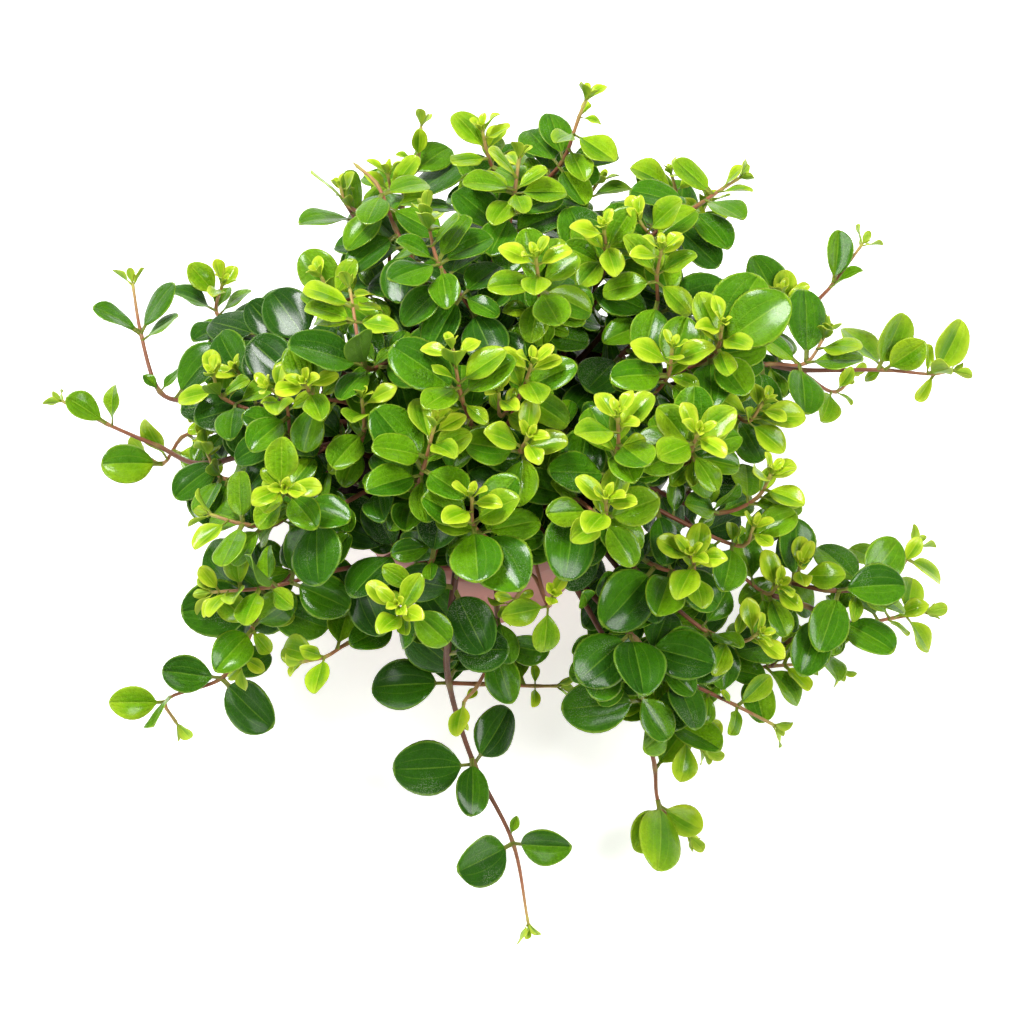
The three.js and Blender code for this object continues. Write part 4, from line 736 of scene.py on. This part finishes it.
def grow_stem(form, stem):
    """A tapering four-angled stem, a little swollen where its leaves stand."""
    before = [(math.inf,) * 3] + stem["fine"]
    fine = [p for p, other in zip(stem["fine"], before) if math.dist(p, other) > 0.2]
    frames = frames_along(fine)
    points = np.array(fine)
    steps = np.linalg.norm(np.diff(points, axis=0), axis=1)
    far = np.concatenate([np.cumsum(steps[::-1])[::-1], [0]])
    nodes = np.array([stem["points"][v] for v, _ in stem["nodes"]])
    radius = mix(SHOOT["tip"], SHOOT["foot"], np.clip(far / STEM["taper"], 0, 1) ** 0.8)
    gap = np.linalg.norm(points[:, None, :] - nodes, axis=2).min(1)
    radius = radius * (1 + SHOOT["joint"] * np.exp(-(gap / SHOOT["spread"]) ** 2))
    angle = np.linspace(0, 2 * np.pi, SHOOT["sides"], endpoint=False)
    shape = 1 + SHOOT["square"] * np.cos(4 * angle)
    side, up = (np.array([f[i] for f in frames])[:, None, :] for i in (1, 2))
    ring = np.cos(angle)[:, None] * side + np.sin(angle)[:, None] * up
    rows = points[:, None, :] + ring * (radius[:, None] * shape)[:, :, None]
    growth = layers(rows, (1 - np.exp(-far / 30))[:, None], 0,
                    np.exp(-(gap / 2) ** 2)[:, None], 0)
    form.rings(rows[:-1], fine[-1], np.zeros_like(growth[:-1]), growth[:-1], 0)


def nearest_on(stem, place):
    """Point of the smooth stem nearest to a place."""
    near, fine = [], stem["fine"]
    for a, b in zip(fine, fine[1:]):
        ab = sub(b, a)
        near.append(add(a, ab, clamp(dot(sub(place, a), ab) / (dot(ab, ab) or 1), 0, 1)))
    return min(near, key=lambda point: length(sub(place, point)))


def leaf_age(stem, leaf):
    """Age from 0 to 1, by how far back and how large a leaf is, and by its shoot."""
    grown = 1 - math.exp(-leaf.get("back", stem["far"][leaf["vertex"]]) / 27)
    sized = ease((leaf["reach"] - 9) / 18)
    tone = clamp(0.6 * grown + 0.32 * sized + 0.14 * (draw(leaf["id"], 55) - 0.5), 0, 1)
    return clamp(tone * TONE.get(stem["entry"]["name"], 1), 0, 1)


def bud_leaves(stem):
    """The smallest leaves at a shoot's tip, still half closed round the bud."""
    if stem["entry"]["bare"]:
        return []
    inner = tip_leaves(stem, turn=80, first="inner_bud", size=0.66, opening=24)
    bud = tip_leaves(stem, turn=170, first="bud", size=0.4, opening=12)
    return [hold_leaf(leaf, 0) for leaf in inner + bud]


AROUND = [(i, j, k) for i in (-1, 0, 1) for j in (-1, 0, 1) for k in (-1, 0, 1)]


class Room:
    """Points of what has grown so far, by cells, so that an added leaf keeps clear of it."""

    def __init__(self, gap):
        self.gap, self.cells = gap, {}

    def cell(self, point):
        return tuple(math.floor(c / self.gap) for c in point)

    def put(self, points):
        for point in points:
            self.cells.setdefault(self.cell(point), []).append(point)

    def free(self, points):
        for point in points:
            x, y, z = self.cell(point)
            for i, j, k in AROUND:
                for other in self.cells.get((x + i, y + j, z + k), ()):
                    if math.dist(point, other) < self.gap:
                        return False
        return True


def blade_samples(leaf, start=0.24):
    """Points spread over a leaf's blade, its middle first."""
    reach, points = leaf["reach"], []
    rows = max(3, round(reach * (1 - start) / CLEAR["leaf"]))
    for i in range(rows + 1):
        u = reach * mix(start, 1, i / rows)
        t = (u - leaf["petiole"]) / (reach - leaf["petiole"])
        s = clamp(t, 0, 1) ** leaf["bias"]
        width = leaf["half"] * (4 * s * (1 - s)) ** 0.55
        columns = max(1, round(width / CLEAR["leaf"])) if width > 1 else 0
        for j in range(-columns, columns + 1):
            v = width * j / (columns or 1)
            rise = leaf["fold"] * abs(v) - leaf["droop"] * u * u / reach
            flat = add(add(leaf["root"], leaf["along"], u), leaf["side"], v)
            points.append(add(flat, leaf["up"], rise))
    middle = len(points) // 2
    return points[middle:] + points[:middle]


def stem_samples(stem):
    """Points spread along a stem."""
    points, fine = [], stem["fine"]
    for a, b in zip(fine, fine[1:]):
        steps = max(1, round(length(sub(b, a)) / CLEAR["stem_step"]))
        points += [lerp(a, b, i / steps) for i in range(steps)]
    return points


def back_along(stem, distance):
    """Place and direction on the stem at a distance back from its tip's node."""
    fine = stem["fine"][:-1][::-1]
    for a, b in zip(fine, fine[1:]):
        step = length(sub(b, a))
        if distance <= step and step > 0:
            return lerp(a, b, distance / step), unit(sub(a, b))
        distance -= step
    return None, None


def in_the_way(points):
    """Whether a leaf would touch the pot or the floor, or hide the pot wall that shows."""
    return any(z < CLEAR["floor"] or in_window((x, y, z), WINDOW["edge"])
               or (z < POT["height"] + CLEAR["rim_height"]
                   and math.hypot(x, y) < POT["rim"] + CLEAR["rim"]) for x, y, z in points)


def in_body(pixel):
    """Whether a place is inside the outline of the plant's dense part."""
    x, y = pixel
    inside = False
    for (ax, ay), (bx, by) in zip(BODY, BODY[1:] + BODY[:1]):
        if (ay > y) != (by > y) and x < ax + (y - ay) * (bx - ax) / (by - ay):
            inside = not inside
    return inside


def try_leaf(stem, back, direction, facing, reach, ident, attempts, inner=False):
    """A leaf at a distance back from the tip, held in the first way that has room."""
    place, _ = back_along(stem, back)
    leaf = leaf_from(stem, 0, direction, reach, facing, ident)
    leaf["root"], leaf["back"] = place, back
    for attempt in range(attempts):
        held = hold_leaf(leaf, attempt)
        if inner and not in_body(pixel_of(add(place, held["along"], held["reach"] * 0.7))):
            continue
        points = blade_samples(held)
        if room.free(points) and not in_the_way(points):
            room.put(points)
            return held
    return None


def young_leaves(stem):
    """Pairs of young leaves close under a shoot's tip, larger further down."""
    if stem["entry"]["bare"]:
        return []
    grown, turn = [], draw(stem["index"], 71) * 360
    slim = stem["entry"]["name"] in SLIM
    limit = 3 if slim else stem["far"][stem["nodes"][-2][0]] - 4
    for step, (back, low, high, opening) in enumerate(YOUNG):
        if back > limit:
            break
        place, axis = back_along(stem, back)
        facing = unit(lerp(axis, (0, 0, 1), 0.7))
        level = unit(cross((0, 0, 1), axis))
        upright = ease(axis[2] * 1.2)
        for side in range(2):
            ident = (stem["index"] * SERIES["stem"] + SERIES["young"]
                     + step * SERIES["young_pair"] + side)
            sway = (1 - upright) * 50 * (draw(ident, 74) - 0.5)
            angle = math.radians((turn + step * 90) * upright + sway + side * 180)
            across = add(times(level, math.cos(angle)), cross(axis, level), math.sin(angle))
            spread = math.radians(opening + 14 * (draw(ident, 72) - 0.5))
            reach = mix(low, high, draw(ident, 73)) * (0.72 if slim else 1)
            grown.append(try_leaf(stem, back, spread_from(axis, across, spread), facing, reach,
                                  ident, 14))
    return grown


def fill_leaves(stem, sizes):
    """Grown leaves along the inner part of a stem, wherever there is room for one."""
    grown, index = [], stem["index"]
    for k in range(2, int(stem["far"][0] / FILL["step"])):
        back = k * FILL["step"] + 3 * draw(index, 80 + k)
        place, axis = back_along(stem, back)
        if place is None or place[2] < FILL["lowest"]:
            continue
        facing = unit(lerp(axis, (0, 0, 1), FILL["upward"]))
        most = mix(*FILL["reach"], 1 - math.exp(-back / FILL["growth"]))
        for turn in range(FILL["turns"]):
            ident = index * SERIES["stem"] + SERIES["fill"] + k * 10 + turn
            across = around(facing, 2.4 * (k * 5 + turn) + 6.28 * draw(index, 81))
            tilt = math.radians(mix(*FILL["tilt"], draw(ident, 82)))
            direction = add(times(across, math.cos(tilt)), facing, math.sin(tilt))
            grown.append(next(filter(None, (
                try_leaf(stem, back, direction, facing, most * size, ident, 3, True)
                for size in sizes)), None))
    return grown


def single_leaf(number, name, root, middle, reach):
    """A leaf seen at one place, on the nearest part of its stem."""
    stem = next(s for s in stems if s["entry"]["name"] == name)
    back = min(range(2, 2 * int((stem["far"][0] - 8) / 2) + 2, 2),
               key=lambda b: math.dist(pixel_of(back_along(stem, b)[0]), root))
    place, axis = back_along(stem, back)
    facing = unit(lerp(axis, (0, 0, 1), 0.8))
    aims = (sub(on_ray(middle, place[2] + lift), place) for lift in (0, 4, -4, 8, -8))
    return next(filter(None, (try_leaf(stem, back, aim, facing, reach,
                                       SERIES["single"] + number, 12) for aim in aims)), None)


forms, added = {}, []
room = Room(CLEAR["leaf"])
for stem in stems:
    form = forms.setdefault(stem["family"], Form())
    grow_stem(form, stem)
    room.put(stem_samples(stem))
    for leaf in bud_leaves(stem):
        leaf["root"] = add(leaf["root"], leaf["facing"], 0.6)
        room.put(blade_samples(leaf))
        grow_leaf(form, leaf, 0.0)
for leaf in leaves:
    room.put(blade_samples(leaf))
added += [single_leaf(*entry) for entry in SINGLE]
for stem in stems:
    added += young_leaves(stem)
for sizes in FILL["sizes"]:
    for stem in stems:
        added += fill_leaves(stem, sizes)
for leaf in leaves + list(filter(None, added)):
    stem = leaf["stem"]
    grow_leaf(forms[stem["family"]], leaf, leaf_age(stem, leaf), nearest_on(stem, leaf["root"]))


# ---- Materials ----
def node(tree, kind, inputs=None, **settings):
    """A node with its settings and its inputs, each a plain value, a socket or a Value."""
    made = tree.nodes.new(kind)
    for key, value in settings.items():
        setattr(made, key, value)
    for key, value in (inputs or {}).items():
        feed(tree, made.inputs[key], value)
    return made


def feed(tree, entry, value):
    """Links a socket or a Value to an input, or sets a plain value on it."""
    value = getattr(value, "socket", value)
    if isinstance(value, bpy.types.NodeSocket):
        tree.links.new(value, entry)
    else:
        entry.default_value = value


class Value:
    """A number that a node tree works out, for use in plain formulas."""

    def __init__(self, socket):
        self.socket, self.tree = socket, socket.id_data

    def math(self, operation, *others):
        inputs = dict(enumerate(others, 1)) | {0: self}
        return Value(node(self.tree, "ShaderNodeMath", inputs, operation=operation).outputs[0])

    def __add__(self, other):
        return self.math("ADD", other)

    def __sub__(self, other):
        return self.math("SUBTRACT", other)

    def __rsub__(self, other):
        return self.math("MULTIPLY_ADD", -1.0, other)

    def __mul__(self, other):
        return self.math("MULTIPLY", other)

    def __rtruediv__(self, other):
        inputs = {0: other, 1: self}
        return Value(node(self.tree, "ShaderNodeMath", inputs, operation="DIVIDE").outputs[0])

    def __abs__(self):
        return self.math("ABSOLUTE")

    def max(self, other):
        return self.math("MAXIMUM", other)

    def remap(self, low, high, to_low=0.0, to_high=1.0):
        """Eases from to_low to to_high while the value goes from low to high."""
        inputs = {0: self, 1: low, 2: high, 3: to_low, 4: to_high}
        made = node(self.tree, "ShaderNodeMapRange", inputs, interpolation_type="SMOOTHSTEP")
        return Value(made.outputs[0])


def linear(red, green, blue):
    """Shader colour of a screen colour whose channels go up to 255."""
    shares = [channel / 255 for channel in (red, green, blue)]
    return (*(c / 12.92 if c <= 0.04045 else ((c + 0.055) / 1.055) ** 2.4 for c in shares), 1.0)


class Skin:
    """A material with one main shader, and what its formulas draw on."""

    def __init__(self, name):
        self.material = bpy.data.materials.new(name)
        self.material.use_nodes = True
        self.tree = self.material.node_tree
        self.tree.nodes.clear()
        self.shader = node(self.tree, "ShaderNodeBsdfPrincipled")
        shown = {"Surface": self.shader.outputs[0]}
        self.out = node(self.tree, "ShaderNodeOutputMaterial", shown)
        self.place = node(self.tree, "ShaderNodeTexCoord").outputs["Object"]

    def set(self, **values):
        """Fills the main shader's inputs, with _ for the spaces in their names."""
        for name, value in values.items():
            feed(self.tree, self.shader.inputs[name.replace("_", " ")], value)

    def attribute(self, name):
        read = node(self.tree, "ShaderNodeAttribute", attribute_name=name)
        parts = node(self.tree, "ShaderNodeSeparateColor", {0: read.outputs["Color"]})
        return *(Value(part) for part in parts.outputs[:3]), Value(read.outputs["Alpha"])

    def noise(self, scale, detail=2.0, rough=0.5):
        inputs = {"Vector": self.place, "Scale": scale, "Detail": detail, "Roughness": rough}
        return Value(node(self.tree, "ShaderNodeTexNoise", inputs).outputs[0])

    def blend(self, share, a, b, kind="MIX"):
        made = node(self.tree, "ShaderNodeMix", {0: share, 6: a, 7: b}, data_type="RGBA",
                    blend_type=kind)
        return made.outputs[2]

    def ramp(self, value, *stops):
        """Colour by value; each stop is its place and its red, green and blue."""
        made = node(self.tree, "ShaderNodeValToRGB", {0: value})
        elements = made.color_ramp.elements
        while len(elements) < len(stops):
            elements.new(0.5)
        for element, (at, *color) in zip(elements, stops):
            element.position, element.color = at, linear(*color)
        return made.outputs[0]

    def bump(self, height, strength, distance):
        inputs = {"Strength": strength, "Distance": distance, "Height": height}
        self.set(Normal=node(self.tree, "ShaderNodeBump", inputs).outputs[0])


def leaf_material():
    """Fresh yellow-green at the tips to dark green further back, by the age of each leaf."""
    skin = Skin("leaf_green")
    share, across, size, stalk = skin.attribute("blade")
    age, chance, upper, _ = skin.attribute("growth")
    patch = skin.noise(95, 2)
    x = abs((across - 0.5) * 2.0)
    fresh = age.remap(0.55, 0.1)
    depth = age.remap(0.1, 0.6, 0.35, 1.0)
    edge = x.remap(0.3, 1.0).max(share.remap(0.6, 1.0))
    rim = x.remap(0.87, 0.98).max(share.remap(0.95, 0.99))

    # Green of the blade: patchy, painted light on one half and painted shade on the other, young
    # leaves greener in the middle
    tone = age + (patch - 0.5) * 0.16 - share.remap(0.35, 0.0) * 0.07
    # Painted light and shade: one half of the folded blade lighter, the other darker
    tone = tone + across.remap(0.48, 0.52, -0.22, 0.22) * (chance - 0.5)
    tone = tone + fresh * (1.0 - edge) * 0.2
    green = skin.ramp(tone, (0.0, 214, 228, 52), (0.2, 172, 206, 22), (0.4, 120, 172, 6),
                      (0.6, 74, 134, 0), (0.8, 48, 102, 0), (1.0, 31, 77, 0))
    green = skin.blend(chance * 0.3, green, linear(120, 150, 20), "OVERLAY")
    green = skin.blend(fresh * edge * 0.6, green, linear(206, 222, 58))
    dark = skin.blend(0.5, green, (0.006, 0.03, 0.0, 1))
    green = skin.blend(skin.noise(520, 3, 0.6).remap(0.62, 0.36, 0.0, 0.36) * depth, green, dark)

    # Veins: the middle one and two fainter ones on each side, pale
    thin = 0.034 / (size + 0.15)
    veins = x.remap(thin * 1.3, 0.0)
    for at, strength in ((0.36, 0.42), (0.7, 0.22)):
        veins = veins.max(abs(x - at).remap(thin, 0.0) * strength)
    veins = veins * share.remap(1.0, 0.75)
    pale = skin.ramp(age, (0.1, 232, 240, 84), (0.7, 150, 196, 62))
    color = skin.blend(veins * 0.6, green, skin.blend(0.5, green, pale))
    # Pale rim round each blade: painted edge highlight and painted glow of light through the thin
    # edge
    edge_glow = skin.ramp(age, (0.0, 234, 240, 84), (0.45, 180, 214, 54), (1.0, 116, 166, 54))
    color = skin.blend(rim * 0.62, color, edge_glow)

    # Whitish flecks on old leaves, partly greyish wear and partly painted grainy highlight, the
    # paler underside and the stalk
    wear_and_glint_patches = skin.noise(70, 1).remap(0.55, 0.68) * age.remap(0.4, 0.8)
    # Whitish specks: painted grainy highlight, with greyish wear in patches on old leaves
    glint_and_wear_specks = skin.noise(2300, 1).remap(0.5, 0.66) * (wear_and_glint_patches * 0.22 + 0.02)
    color = skin.blend(glint_and_wear_specks, color, linear(186, 196, 168))
    color = skin.blend(upper, skin.blend(0.42, color, linear(132, 168, 72)), color)
    color = skin.blend(stalk * 0.7, color, linear(150, 150, 70))

    relief = (skin.noise(900, 2, 0.6) * 0.46 + skin.noise(240, 1) * 0.44
              + skin.noise(2100, 1) * 0.26 - (x * 18.0).math("COSINE") * 0.036
              - x.remap(0.24, 0.0, 0.0, 0.26)) * depth
    skin.bump(relief, 0.9, 0.0019)
    skin.set(Base_Color=color, Roughness=upper * -0.2 + 0.5 + patch * 0.14, IOR=1.45,
             Specular_IOR_Level=0.08, Coat_Weight=0.42, Coat_Roughness=0.17)
    through = node(skin.tree, "ShaderNodeBsdfTranslucent", {"Color": color})
    both = node(skin.tree, "ShaderNodeMixShader", {0: (1.0 - age) * 0.14 + 0.08,
                                                   1: skin.shader.outputs[0],
                                                   2: through.outputs[0]})
    skin.tree.links.new(both.outputs[0], skin.out.inputs["Surface"])
    return skin.material


def stem_material():
    """Reddish brown, green at the tips and round the joints."""
    skin = Skin("stem_red")
    age, _, joint, _ = skin.attribute("growth")
    streak = skin.noise(420, 3)
    bark = skin.ramp(age + (streak - 0.5) * 0.3, (0.0, 176, 180, 62), (0.16, 170, 140, 82),
                     (0.42, 148, 94, 64), (0.74, 118, 70, 46), (1.0, 86, 52, 36))
    skin.bump(skin.noise(800, 2), 0.4, 0.0004)
    skin.set(Base_Color=skin.blend(joint * 0.35, bark, linear(140, 140, 66)),
             Roughness=streak * 0.2 + 0.34, Specular_IOR_Level=0.3)
    return skin.material


def pot_material():
    """Matte plastic, a little cloudy, specked and dusty."""
    skin = Skin("pot_terracotta")
    cloud, speck = skin.noise(22, 4), skin.noise(1400, 2)
    color = skin.ramp(cloud, (0.3, 148, 80, 68), (0.7, 168, 98, 84))
    dust = skin.noise(60, 5, 0.6).remap(0.55, 0.75)
    color = skin.blend(dust * 0.25, color, linear(182, 142, 122))
    color = skin.blend(speck.remap(0.55, 0.7) * 0.12, color, linear(110, 66, 54))
    skin.bump(speck, 0.3, 0.0003)
    skin.set(Base_Color=color, Roughness=cloud * 0.14 + 0.46)
    return skin.material


def soil_material():
    """Dark crumbly peat."""
    skin = Skin("soil_peat")
    crumb = skin.noise(420, 5, 0.7)
    skin.bump(crumb, 0.9, 0.0015)
    color = skin.ramp(crumb, (0.3, 28, 19, 13), (0.55, 58, 40, 27), (0.75, 96, 70, 48))
    skin.set(Base_Color=color, Roughness=0.92)
    return skin.material


def floor_material():
    """A white backdrop that glows a little, so that shade on it stays pale."""
    skin = Skin("floor_pale")
    color = skin.blend(skin.noise(40, 3), (0.93, 0.93, 0.93, 1), (0.95, 0.95, 0.95, 1))
    skin.set(Base_Color=color, Roughness=0.9, Specular_IOR_Level=0.1,
             Emission_Color=(1.0, 1.0, 1.0, 1), Emission_Strength=0.6)
    return skin.material


def add_object(name, mesh, materials, replaced=None):
    """A mesh in the scene, with the node that it stands for and the slot of its material."""
    piece = bpy.data.objects.new(name, mesh)
    bpy.context.scene.collection.objects.link(piece)
    for material in materials:
        mesh.materials.append(material)
    if replaced:
        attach(piece, "root")
        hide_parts(replaced)
    return piece


stem_skin, leaf_skin = stem_material(), leaf_material()
for family, form in forms.items():
    add_object("leafy_" + family, form.mesh("leafy_" + family), [stem_skin, leaf_skin],
               "stem_" + family)


# ---- Pot and soil ----
POT_SIDES, SOIL_SIDES, HOLE_SIDES = 128, 96, 24


def circle(form, sides, place):
    """A ring of vertices; place gives millimetres for an angle."""
    return [form.verts.new(Vector(place(2 * math.pi * j / sides)) * MM) for j in range(sides)]


def bridge(form, a, b):
    """A band of faces between two rings."""
    for j, k in zip(range(len(a)), [*range(1, len(a)), 0]):
        form.faces.new((a[j], a[k], b[k], b[j]))


def drained_caps(form, lower, upper):
    """Base plate between two rings of vertices, with a circle of drain holes through it."""
    count, reach, radius = POT["drain_holes"], POT["drain_circle"], POT["drain_radius"]
    holes = []
    for ring in (lower, upper):
        rounds = []
        for turn in (2 * math.pi * (i + 0.5) / count for i in range(count)):
            rounds.append(circle(form, HOLE_SIDES, lambda a: (
                math.cos(turn) * reach + math.cos(a) * radius,
                math.sin(turn) * reach + math.sin(a) * radius, ring[0].co.z / MM)))
        loops = [ring, *rounds]
        corners = sum(loops, [])
        for tri in tessellate_polygon([[v.co for v in loop] for loop in loops]):
            form.faces.new([corners[i] for i in tri])
        holes.append(rounds)
    for a, b in zip(*holes):
        bridge(form, a, b)


def lathe(name, profile, sides, lift=lambda k, radius, angle: 0, drained=False):
    """Closed ring of revolution about the upright axis; the profile runs round its
    section, and lift adds to the height of its k-th point at a radius and angle."""
    form = bmesh.new()
    rings = [circle(form, sides, lambda a: (math.cos(a) * radius, math.sin(a) * radius,
                                            z + lift(k, radius, a)))
             for k, (radius, z) in enumerate(profile)]
    for a, b in zip(rings, rings[1:]):
        bridge(form, a, b)
    for face in form.faces:
        face.smooth = True
    if drained:
        drained_caps(form, rings[0], rings[-1])
    else:
        form.faces.new(rings[0][::-1])
        form.faces.new(rings[-1])
    bmesh.ops.recalc_face_normals(form, faces=form.faces)
    mesh = bpy.data.meshes.new(name)
    form.to_mesh(mesh)
    form.free()
    return mesh


def wall_at(z):
    """Outer radius of the pot's wall below its rim band."""
    return mix(POT["base"], POT["rim"] - POT["step"] - 0.6, z / (POT["height"] - POT["band"]))


def pot_mesh():
    """Foot, wall, rim band and lip from the outside in, then down inside to the floor."""
    top, rim, wall, base = POT["height"], POT["rim"], POT["wall"], POT["base"]
    under, floor, levels = top - POT["band"], POT["floor"], (4, 12, 24, 36, 48, 60, 70)
    foot = ((-12, 1), (-4, 1), (-3.2, 0.3), (-2.4, 0), (-0.6, 0), (-0.1, 0.2), (0.1, 0.7))
    lip = ((-0.05, -1.4), (-0.15, -0.6), (-0.6, -0.1), (-1.1, 0), (-1.6, -0.2),
           (-0.4 - wall, -0.9))
    profile = [(base + r, z) for r, z in foot]
    profile += [(wall_at(z), z) for z in (*levels, under - 3)]
    profile += [(wall_at(under) + r, under + z) for r, z in ((-0.1, -0.7), (0.2, -0.15))]
    profile += [(rim + r, under + z) for r, z in ((-0.9, 0), (-0.35, 0.3), (-0.25, 1))]
    profile += [(rim + r, top + z) for r, z in lip]
    profile += [(wall_at(z) - wall, z) for z in (under - 2, *levels[::-1])]
    profile += [(wall_at(3) - wall - 0.6, 2.4), (base - wall - 2, floor), (base - 12, floor)]
    return lathe("pot_round", profile, POT_SIDES, drained=True)


def soil_mesh():
    """Flat base, sides just clear of the pot, and a heaped top with crumbs."""
    def crumbs(k, radius, angle):
        if not len(sides) <= k < len(sides + heap) - 1:
            return 0
        x, y, bump = radius * math.cos(angle), radius * math.sin(angle), 0
        for q, often in enumerate((0.35, 0.6, 0.9, 1.4, 2.1, 2.9)):
            c, s = math.cos(q * 2.4), math.sin(q * 2.4)
            bump += draw(int(31 * c + q), 3) * math.sin((x * c + y * s) * often + q)
        return 0.8 * bump * ease((56 - radius) / 8)

    top, gap = SOIL["top"], POT["wall"] + SOIL["clearance"] / 2
    base, edge = wall_at(3) - POT["wall"] - 0.9, wall_at(top) - gap
    sides = [(0.5, 3), (base - 3, 3), (base, 3.6), (wall_at(30) - gap, 30),
             (wall_at(60) - gap, 60), (edge, top - 1)]
    heap = [(edge * share, top + SOIL["heap"] * (1 - share ** 2)) for share in
            (0.985, 0.96, 0.92, 0.87, 0.81, 0.75, 0.69, 0.62, 0.55, 0.48, 0.41, 0.34,
             0.27, 0.2, 0.13, 0.07, 0.01)]
    return lathe("soil_body", sides + heap, SOIL_SIDES, crumbs)


add_object("pot_round", pot_mesh(), [pot_material()], "pot")
add_object("soil_crumbs", soil_mesh(), [soil_material()], "soil")

# ---- Setting, light and camera ----
FLOOR_HALF = 4.0
# Name, place, width, height and watts of each lamp, and the place they point at
LAMPS = (("key_light", (-0.32, 0.42, 1.1), 0.36, 0.36, 16),
         ("fill_light", (0.65, -0.3, 1.0), 0.4, 0.6, 10),
         ("front_light", (-0.75, -0.35, 0.85), 0.5, 0.6, 4))
LIT = (0, 0, 0.1)
SENSOR = 36

floor = bmesh.new()
bmesh.ops.create_grid(floor, x_segments=1, y_segments=1, size=FLOOR_HALF)
floor_mesh = bpy.data.meshes.new("floor")
floor.to_mesh(floor_mesh)
floor.free()
add_object("floor", floor_mesh, [floor_material()])

scene = bpy.context.scene
scene.world = bpy.data.worlds.new("studio")
scene.world.use_nodes = True
sky = scene.world.node_tree
background = sky.nodes["Background"]
seen = node(sky, "ShaderNodeTexCoord").outputs["Generated"]
upward = Value(node(sky, "ShaderNodeSeparateXYZ", {0: seen}).outputs[2])
feed(sky, background.inputs[0], (1.0, 1.0, 0.95, 1))
feed(sky, background.inputs[1], upward.remap(0.1, 0.32, 0.97, 0.17))


def aimed(name, data, place, target):
    """A lamp or camera at a place, turned to a target."""
    made = bpy.data.objects.new(name, data)
    made.location = place
    made.rotation_euler = (Vector(target) - Vector(place)).to_track_quat("-Z", "Y").to_euler()
    scene.collection.objects.link(made)
    return made


for name, place, width, height, power in LAMPS:
    light = bpy.data.lights.new(name, "AREA")
    light.shape, light.size, light.size_y, light.energy = "RECTANGLE", width, height, power
    aimed(name, light, place, LIT)

camera = bpy.data.cameras.new("camera")
camera.sensor_width = SENSOR
camera.lens = SENSOR * VIEW["distance"] / VIEW["width"]
scene.camera = aimed("camera", camera, Vector(EYE) * MM,
                     Vector((VIEW["x"], 0, VIEW["height"])) * MM)
scene.view_settings.view_transform = "Standard"
scene.view_settings.look = "None"
